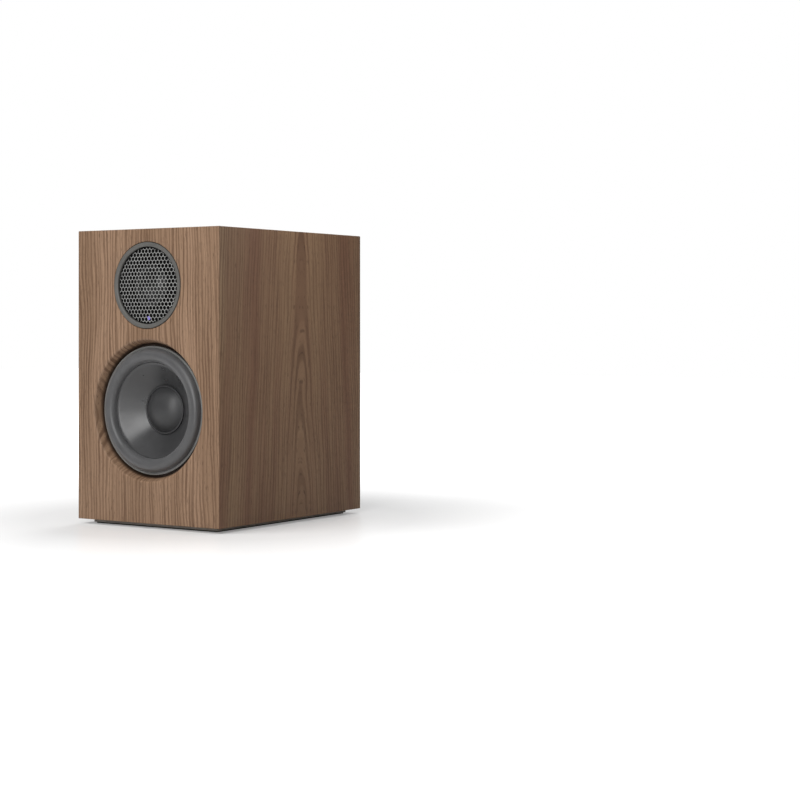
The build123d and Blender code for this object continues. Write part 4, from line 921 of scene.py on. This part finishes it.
def palette():
    """Maker and values of every finish, from the current settings."""
    scene = bpy.context.scene
    box, woofer, tweeter = scene.speaker_cabinet, scene.speaker_woofer, scene.speaker_tweeter
    rear = scene.speaker_rear
    wood = {"line": box.walnut_line, "pitch": box.line_pitch}
    face = {"light": box.walnut_light, "dark": box.walnut_dark}
    # Darker copies of the walnut tones for the sides and top: painted shade.
    shaded_flank = {"light": box.shaded_side_light, "dark": box.shaded_side_dark}
    black = tone("18181A")
    return {
        # Oiled veneer, quarter cut: fine upright lines, with painted shade that darkens the recess wall
        # towards its foot.
        "walnut_front": (walnut, dict(wood, **face, along=2, across=0, flame_at=-260, spread=20,
                                      slope=0.012, seed=1, contrast=0.85, wide=9.0, stained=True)),
        # A crown-cut leaf with a row of pointed arches up the side, in greyer and redder bands that are
        # also darker than the front's: painted shade.
        "walnut_side": (walnut, dict(wood, **shaded_flank, along=2, across=1, flame_at=8, spread=14, slope=0.055,
                                     seed=2, contrast=0.8, wide=5.0)),
        # Straight lines from side to side, in the sides' darker tones: painted shade.
        "walnut_top": (walnut, dict(wood, **shaded_flank, along=0, across=1, flame_at=-240, spread=20,
                                    slope=0.02, seed=3, contrast=0.6, wide=8.0)),
        # A fine pebbled film, dull.
        "black_laminate": (coated, dict(colour=black, roughness=0.6, grain=0.7, relief=0.06)),
        # Pressed wood fibre, bare: pale brown, mottled and without shine.
        "raw_fibreboard": (coated, dict(colour=tone("9A7B57"), roughness=0.85, grain=0.5, relief=0.08,
                                        uneven=0.3)),
        # Sprayed paint, a little rough: warm grey with no clear highlight.
        "plinth_paint": (coated, dict(colour=tone("9A948C"), roughness=0.6, grain=0.35, relief=0.05)),
        # Cellular rubber: near black and matt.
        "pad_rubber": (coated, dict(colour=tone("1A1A1A"), roughness=0.85, grain=0.6, relief=0.1)),
        # Black zinc plating on steel: a dark sheen on the edges of the heads.
        "black_zinc": (coated, dict(colour=tone("2B2B2E"), roughness=0.38, grain=0.3, relief=0.01,
                                    Metallic=1.0)),
        # Injection-moulded ABS with a fine spark texture: a soft grey highlight.
        "moulded_black": (coated, dict(colour=tone("1B1B1C"), roughness=0.48, grain=0.35, relief=0.03)),
        # Powder coat on pressed steel: dark, faintly pebbled.
        "basket_paint": (coated, dict(colour=tone("202022"), roughness=0.5, grain=0.3, relief=0.03)),
        # Satin paint: a thin mid-grey line round the woofer.
        "satin_trim_paint": (coated, dict(colour=woofer.trim_tone, roughness=0.34, grain=0.5,
                                          relief=0.01)),
        # Closed-cell foam: black, and swallows light.
        "gasket_foam": (coated, dict(colour=tone("151515"), roughness=0.95, grain=0.5, relief=0.15)),
        # Butyl rubber: satin, with a soft sheen round the roll.
        "surround_rubber": (coated, dict(colour=woofer.rubber_tone, roughness=0.36, grain=0.6,
                                         relief=0.012, Specular_IOR_Level=0.55, Sheen_Weight=0.15)),
        # Pulp under a satin coat: short matted fibres with a soft wide highlight.
        "coated_cone_pulp": (coated, dict(colour=woofer.cone_tone, roughness=0.33, grain=0.8,
                                          relief=0.012, Specular_IOR_Level=0.85)),
        # The same pulp under less coat: a duller highlight.
        "coated_cap_pulp": (coated, dict(colour=woofer.cone_tone, roughness=0.42, grain=0.8, relief=0.01,
                                         Specular_IOR_Level=0.6)),
        # Resin-stiffened cotton: tan, with its weave showing.
        "spider_cloth": (woven, dict(colour=tone("A8843E"), roughness=0.85, thread=0.8)),
        # Enamelled copper: warm ridges with small highlights.
        "enamelled_wire": (wound, dict(colour=tone("B4703A"), pitch=0.35)),
        # Bright zinc on steel: pale grey metal with blurred reflections.
        "zinc_plated_steel": (coated, dict(colour=tone("B9B9B4"), roughness=0.34, grain=0.8,
                                           relief=0.01, Metallic=1.0)),
        # Sintered ferrite, ground: charcoal and dull.
        "ground_ferrite": (coated, dict(colour=tone("3A3A3D"), roughness=0.6, grain=0.3, relief=0.04)),
        # Paper laminate: brown, slightly waxy.
        "tag_board": (coated, dict(colour=tone("6B4A2A"), roughness=0.6, grain=0.4, relief=0.03)),
        # Satin paint, a little duller and darker than the woofer's rim.
        "satin_ring_paint": (coated, dict(colour=tweeter.ring_tone, roughness=0.42, grain=0.4,
                                          relief=0.012)),
        # Painted steel sheet: pale grey bars that catch the light over black holes.
        "mesh_paint": (coated, dict(colour=tweeter.mesh_tone, roughness=0.38, grain=0.4, relief=0.008,
                                    Specular_IOR_Level=0.6)),
        # Flat black moulding, pressed to near black: partly its own black, partly painted shade in the
        # mesh's holes and round its edge.
        "matt_black_plate": (coated, dict(colour=tone("060606"), roughness=0.9, grain=0.5, relief=0.03,
                                          Specular_IOR_Level=0.1)),
        # Silk under a tacky coat: black with one soft highlight.
        "coated_silk": (woven, dict(colour=tone("0B0B0C"), roughness=0.3, thread=0.5, sheen=0.0)),
        # Frosted acrylic, lit: a small violet-blue point.
        "lit_lens": (lit, dict(colour=tweeter.light_tone, strength=tweeter.light_strength)),
        # Brushed and anodised aluminium: dark grey, with fine level lines.
        "anodised_plate": (coated, dict(colour=rear.plate_tone, roughness=0.4, grain=0.25, relief=0.015,
                                        stretch=(0.1, 1, 1), Metallic=0.6)),
        # Glass-epoxy board under green mask, with bare copper dots.
        "solder_mask": (circuit, dict(colour=tone("1D5A35"), copper=tone("C79B5B"))),
        # Polyester tape round the winding: amber and smooth, with streaks along X.
        "taped_winding": (coated, dict(colour=tone("B98A2E"), roughness=0.45, grain=2.0, relief=0.05,
                                       stretch=(0.2, 1, 1))),
        # Shrunk vinyl sleeve: dark blue and shiny.
        "can_sleeve": (coated, dict(colour=tone("1F2340"), roughness=0.25, grain=1.0, relief=0.005)),
        # Black-anodised extrusion: dark, dull metal.
        "heat_sink_metal": (coated, dict(colour=tone("3A3A3C"), roughness=0.45, grain=0.5, relief=0.02,
                                         Metallic=0.8)),
        # Moulded epoxy: black with a fine tooth.
        "chip_epoxy": (coated, dict(colour=tone("202020"), roughness=0.7, grain=0.3, relief=0.02)),
        # Nickel plate on brass: bright and slightly warm, with blurred reflections.
        "bright_nickel": (coated, dict(colour=tone("C9C7C0"), roughness=0.22, grain=1.0, relief=0.004,
                                       Metallic=1.0)),
        # Gold flash on brass: bright yellow metal.
        "gilt_brass": (coated, dict(colour=tone("E0B45C"), roughness=0.2, grain=1.0, relief=0.004,
                                    Metallic=1.0)),
        # Moulded nylon washers: off-white and red, semi-gloss.
        "white_insulator": (coated, dict(colour=tone("DCDAD2"), roughness=0.4, grain=0.5)),
        "red_insulator": (coated, dict(colour=tone("A51E1B"), roughness=0.4, grain=0.5)),
        # Moulded ABS caps, polished: clear small highlights on the ribs.
        "moulded_black_cap": (coated, dict(colour=tone("161617"), roughness=0.3, grain=0.5,
                                           relief=0.01)),
        "moulded_red_cap": (coated, dict(colour=rear.live_cap_tone, roughness=0.3, grain=0.5,
                                         relief=0.01)),
        # Moulded ABS, satin: grey keys that stand out from the plate.
        "button_plastic": (coated, dict(colour=tone("66666A"), roughness=0.5, grain=0.3, relief=0.02)),
        # Extruded vinyl sleeve: black, semi-matt.
        "lead_sleeve": (coated, dict(colour=tone("232323"), roughness=0.5, grain=0.6, relief=0.02)),
        # Polyester fibre: off-white fluff, coarser than the real strands so that it shows.
        "wadding_fibre": (coated, dict(colour=tone("DAD8D0"), roughness=0.95, grain=1.4, relief=0.6,
                                       Sheen_Weight=0.3)),
    }


def finish(name):
    """The named finish, made the first time that it is asked for."""
    full = name + "_finish"
    if full not in bpy.data.materials:
        maker, values = palette()[name]
        maker(full, **{k: tuple(v) if hasattr(v, "__len__") else v for k, v in values.items()})
    return bpy.data.materials[full]


# ---------------------------------------------------------------- stage
def softbox(name, at, aim, width, height, power, mirrored=True):
    """Rectangular studio light at a place in metres, turned to face the aim. One that is not mirrored
    is kept out of glossy reflections, so it lights a surface but leaves no highlight on it."""
    data = bpy.data.lights.new(name, "AREA")
    data.shape, data.size, data.size_y, data.energy = "RECTANGLE", width, height, power
    made = stand(name, data)
    made.location = at
    from_to = np.array(aim) - np.array(at)
    turn = math.atan2(-from_to[0], from_to[1])
    tilt = math.atan2(math.hypot(*from_to[:2]), -from_to[2])
    made.rotation_euler = (tilt, 0, turn)
    made.visible_camera = False
    made.visible_glossy = mirrored


def lay_floor(settings):
    """Pale floor, wide and slightly glossy so that the cabinet's foot shows faintly in it. Camera rays
    also see it glow, more with the distance from the speaker, so that it runs out into white."""
    half, steps, sink = 4.0, 9, 0.05
    edge = np.linspace(-half, half, steps) / MM
    x, y = np.meshgrid(edge, edge)
    points = np.stack([x, y, np.full(x.shape, -sink)], -1)
    mesh = bpy.data.meshes.new("pale_floor")
    mesh.from_pydata((points.reshape(-1, 3) * MM).tolist(), [], grid_faces(steps, steps).tolist())
    made = stand("pale_floor", mesh)
    coated("floor_paint", tuple(settings.floor_tone), 0.22, grain=3.0, relief=0.002, patch=400.0,
           uneven=0.004, swing=0.02, Specular_IOR_Level=0.22)
    tree = bpy.data.materials["floor_paint"].node_tree
    shader = next(n for n in tree.nodes if n.type == "BSDF_PRINCIPLED")
    seen = add(tree, "LightPath").outputs["Is Camera Ray"]
    shader.inputs["Emission Color"].default_value = (1, 1, 1, 1)
    where = add(tree, "TexCoord").outputs["Object"]
    away = add(tree, "VectorMath", {0: where}, operation="LENGTH").outputs["Value"]
    lift = add(tree, "MapRange", {"Value": away, "From Min": 0.16, "From Max": 0.6,
                                  "To Min": float(settings.floor_lift), "To Max": 1.0})
    glow = add(tree, "Math", {0: seen, 1: lift}, operation="MULTIPLY")
    link(tree, glow, shader, "Emission Strength")
    mesh.materials.append(bpy.data.materials["floor_paint"])


def light_world(settings):
    """White surroundings to the eye, and a dimmer even light on the speaker."""
    world = bpy.data.worlds.new("studio")
    world.use_nodes = True
    tree = world.node_tree
    tree.nodes.clear()
    seen = add(tree, "LightPath").outputs["Is Camera Ray"]
    level = add(tree, "MapRange", {"Value": seen, "To Min": float(settings.fill_strength), "To Max": 1.0})
    shine = add(tree, "Background", {"Color": (1, 1, 1), "Strength": level})
    add(tree, "OutputWorld", {"Surface": shine})
    bpy.context.scene.world = world


def lay_stage(settings):
    """Floor, surroundings, five lights and the camera, placed in metres."""
    lay_floor(settings)
    light_world(settings)
    softbox("key_softbox", (-0.7, -1.45, 1.75), (0, 0, 0.12), 1.5, 1.5, settings.key_power,
            mirrored=False)
    softbox("tall_softbox", (0.52, -1.12, 0.62), (0, 0, 0.1), 0.5, 1.2, settings.strip_power)
    softbox("rear_softbox", (-0.5, 1.7, 1.3), (0, 0, 0.12), 1.2, 1.0, settings.rear_power)
    softbox("overhead_softbox", (0.2, 0.1, 1.6), (0, 0, 0.1), 0.9, 0.9, settings.top_power)
    softbox("side_softbox", (0.17, 0.0, 0.29), (0.07, 0, 0.22), 0.06, 0.3, settings.side_power)
    data = bpy.data.cameras.new("viewpoint")
    data.sensor_width, data.lens, data.shift_y = 36.0, 81.2, -0.0919
    camera = stand("viewpoint", data)
    camera.location = (0.9593, -1.1968, 0.1617)
    camera.rotation_euler = (math.radians(90), 0, math.radians(33.175))
    bpy.context.scene.camera = camera
    bpy.context.scene.view_settings.view_transform = "Standard"


# ---------------------------------------------------------------- settings
def number(name, about, default, low=0.0, high=500.0):
    """Number that a user can set."""
    return bpy.props.FloatProperty(name=name, description=about, default=default, min=low, max=high)


def colour(name, about, code):
    """Colour that a user can set, from its sRGB hex code."""
    return bpy.props.FloatVectorProperty(name=name, description=about, default=tone(code), subtype="COLOR",
                                         size=3, min=0.0, max=1.0)


class CabinetSettings(bpy.types.PropertyGroup):
    """Walnut cabinet."""
    edge_radius: number("Edge radius", "Rounding of the cabinet's edges, mm", 0.45, 0.1, 3.0)
    recess_mouth_radius: number("Recess mouth", "Radius of the woofer recess at the front, mm", 57.3)
    recess_floor_radius: number("Recess floor", "Radius of the woofer recess at its floor, mm", 53.2)
    recess_roll_radius: number("Recess roll", "Rounding of the recess mouth, mm", 2.2, 0.5, 5.0)
    line_pitch: number("Line pitch", "Mean distance between growth lines, mm", 3.3, 0.5, 20.0)
    walnut_light: colour("Light walnut", "Lightest bands of the veneer", "9E8169")
    walnut_dark: colour("Dark walnut", "Darkest bands of the veneer", "886D56")
    # These tones are darker than the front's: painted shade on the sides and top.
    shaded_side_light: colour("Light side walnut", "Greyer bands of the sides and top", "846B51")
    shaded_side_dark: colour("Dark side walnut", "Redder bands of the sides and top", "6F503D")
    walnut_line: colour("Walnut lines", "Growth lines and fibres", "553C2B")


class WooferSettings(bpy.types.PropertyGroup):
    """Woofer."""
    roll_radius: number("Roll radius", "Radius of the rubber surround's half roll, mm", 5.35, 2.0, 8.0)
    cone_slope: number("Cone slope", "Depth that the cone gains per millimetre inwards", 0.83, 0.3, 1.5)
    cap_rise: number("Cap rise", "Height of the centre cap, mm", 8.8, 2.0, 12.0)
    trim_tone: colour("Trim", "Thin rim round the woofer", "747472")
    rubber_tone: colour("Rubber", "Half-roll surround", "4E4E4F")
    cone_tone: colour("Cone", "Cone and centre cap", "353536")


class TweeterSettings(bpy.types.PropertyGroup):
    """Tweeter."""
    hole_pitch: number("Hole pitch", "Distance between the mesh's holes, mm", 3.5, 1.0, 8.0)
    hole_width: number("Hole width", "Width of a hole between its flats, mm", 3.05, 0.5, 6.0)
    mesh_rise: number("Mesh rise", "Height of the mesh's dome, mm", 1.9, 0.0, 4.0)
    dome_rise: number("Dome rise", "Height of the silk dome, mm", 4.6, 1.0, 8.0)
    ring_tone: colour("Ring", "Ring round the mesh", "595855")
    mesh_tone: colour("Mesh", "Perforated mesh", "989896")
    light_tone: colour("Light", "Status light", "9A8CF0")
    light_strength: number("Light strength", "Brightness of the status light", 0.55, 0.0, 50.0)


class RearSettings(bpy.types.PropertyGroup):
    """Rear panel."""
    port_bore_radius: number("Port bore", "Radius of the reflex port, mm", 15.0, 5.0, 20.0)
    plate_tone: colour("Plate", "Amplifier plate", "4A4A4D")
    live_cap_tone: colour("Positive cap", "Cap of the positive binding post", "A81A16")


class StageSettings(bpy.types.PropertyGroup):
    """Floor and lights."""
    floor_tone: colour("Floor", "Pale floor", "E4E4E4")
    floor_lift: number("Floor lift", "Light added to the floor where the camera sees it", 0.22, 0.0, 1.0)
    key_power: number("Key", "Power of the front left light, W", 33.0, 0.0, 1000.0)
    strip_power: number("Strip", "Power of the tall front right light, W", 8.0, 0.0, 1000.0)
    top_power: number("Top", "Power of the overhead light, W", 6.0, 0.0, 1000.0)
    rear_power: number("Rear", "Power of the light behind, W", 22.0, 0.0, 1000.0)
    side_power: number("Side", "Power of the small side light, W", 0.12, 0.0, 1000.0)
    fill_strength: number("Fill", "Even light from all round", 0.2, 0.0, 5.0)


# ---------------------------------------------------------------- operators
def check(*nodes):
    """Stop an operator whose solids are missing from the model."""
    missing = [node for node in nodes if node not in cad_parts]
    if missing:
        raise RuntimeError(f"the solid model lacks {missing}")


class SPEAKER_OT_cabinet(bpy.types.Operator):
    """Veneer the cabinet: front with its flared recess, sides, top and bottom"""
    bl_idname = "speaker.cabinet"
    bl_label = "Cabinet"

    def execute(self, context):
        check("front_baffle", "left_panel", "right_panel", "top_panel", "bottom_panel")
        settings = context.scene.speaker_cabinet
        front_board(settings, finish("walnut_front"))
        for name, node, along, sign, wood in (
                ("veneered_left_side", "left_panel", 2, -1, "walnut_side"),
                ("veneered_right_side", "right_panel", 2, 1, "walnut_side"),
                ("veneered_top", "top_panel", 0, 1, "walnut_top"),
                ("veneered_underside", "bottom_panel", 0, -1, "walnut_top")):
            side_board(name, node, along, sign, finish(wood), settings.edge_radius)
        return {"FINISHED"}


class SPEAKER_OT_woofer(bpy.types.Operator):
    """Build the woofer's rim, surround, cone, centre cap and spider"""
    bl_idname = "speaker.woofer"
    bl_label = "Woofer"

    def execute(self, context):
        check("woofer_cone", "woofer_dust_cap", "woofer_surround", "woofer_trim_ring")
        woofer_pieces(context.scene.speaker_woofer)
        return {"FINISHED"}


class SPEAKER_OT_tweeter(bpy.types.Operator):
    """Build the tweeter's ring, perforated mesh, faceplate, dome and status light"""
    bl_idname = "speaker.tweeter"
    bl_label = "Tweeter"

    def execute(self, context):
        check("tweeter_ring", "tweeter_mesh", "tweeter_dome", "status_light")
        tweeter_pieces(context.scene.speaker_tweeter)
        return {"FINISHED"}


class SPEAKER_OT_rear(bpy.types.Operator):
    """Finish the rear panel, amplifier plate, sockets, posts, keys and port"""
    bl_idname = "speaker.rear"
    bl_label = "Rear"

    def execute(self, context):
        check("rear_panel", "amp_plate", "line_sockets", "port_tube")
        rear_pieces(context.scene.speaker_rear)
        return {"FINISHED"}


class SPEAKER_OT_base(bpy.types.Operator):
    """Finish the recessed plinth and its pad"""
    bl_idname = "speaker.base"
    bl_label = "Base"

    def execute(self, context):
        check("base_plinth", "base_pad")
        base_pieces()
        return {"FINISHED"}


class SPEAKER_OT_inside(bpy.types.Operator):
    """Finish the pieces inside the cabinet and lay in the wadding"""
    bl_idname = "speaker.inside"
    bl_label = "Inside"

    def execute(self, context):
        check("wadding", *INSIDE)
        inside_pieces()
        return {"FINISHED"}


class SPEAKER_OT_stage(bpy.types.Operator):
    """Lay the pale floor and set the lights and the viewpoint"""
    bl_idname = "speaker.stage"
    bl_label = "Stage"

    def execute(self, context):
        lay_stage(context.scene.speaker_stage)
        return {"FINISHED"}


OPERATORS = (SPEAKER_OT_cabinet, SPEAKER_OT_woofer, SPEAKER_OT_tweeter, SPEAKER_OT_rear,
             SPEAKER_OT_base, SPEAKER_OT_inside, SPEAKER_OT_stage)
SETTINGS = {"speaker_cabinet": CabinetSettings, "speaker_woofer": WooferSettings,
            "speaker_tweeter": TweeterSettings, "speaker_rear": RearSettings,
            "speaker_stage": StageSettings}


class SPEAKER_PT_sidebar(bpy.types.Panel):
    """Settings and steps of the speaker."""
    bl_idname = "SPEAKER_PT_sidebar"
    bl_label = "Bookshelf Speaker"
    bl_space_type = "VIEW_3D"
    bl_region_type = "UI"
    bl_category = "Speaker"

    def draw(self, context):
        for name, group in SETTINGS.items():
            box = self.layout.box()
            box.label(text=group.__doc__.strip("."))
            for key in group.__annotations__:
                box.prop(getattr(context.scene, name), key)
        for operator in OPERATORS:
            self.layout.operator(operator.bl_idname)


def register():
    """Add the classes, and the settings to the scene."""
    for group in (*SETTINGS.values(), *OPERATORS, SPEAKER_PT_sidebar):
        bpy.utils.register_class(group)
    for name, group in SETTINGS.items():
        setattr(bpy.types.Scene, name, bpy.props.PointerProperty(type=group))


def unregister():
    """Take the settings and the classes away again."""
    for name in SETTINGS:
        delattr(bpy.types.Scene, name)
    for group in (SPEAKER_PT_sidebar, *reversed(OPERATORS), *SETTINGS.values()):
        bpy.utils.unregister_class(group)


def main():
    """Run every operator in order."""
    register()
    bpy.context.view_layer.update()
    for operator in OPERATORS:
        group, name = operator.bl_idname.split(".")
        if getattr(getattr(bpy.ops, group), name)() != {"FINISHED"}:
            raise RuntimeError(f"{operator.bl_label} did not finish")


if __name__ == "__main__":
    main()
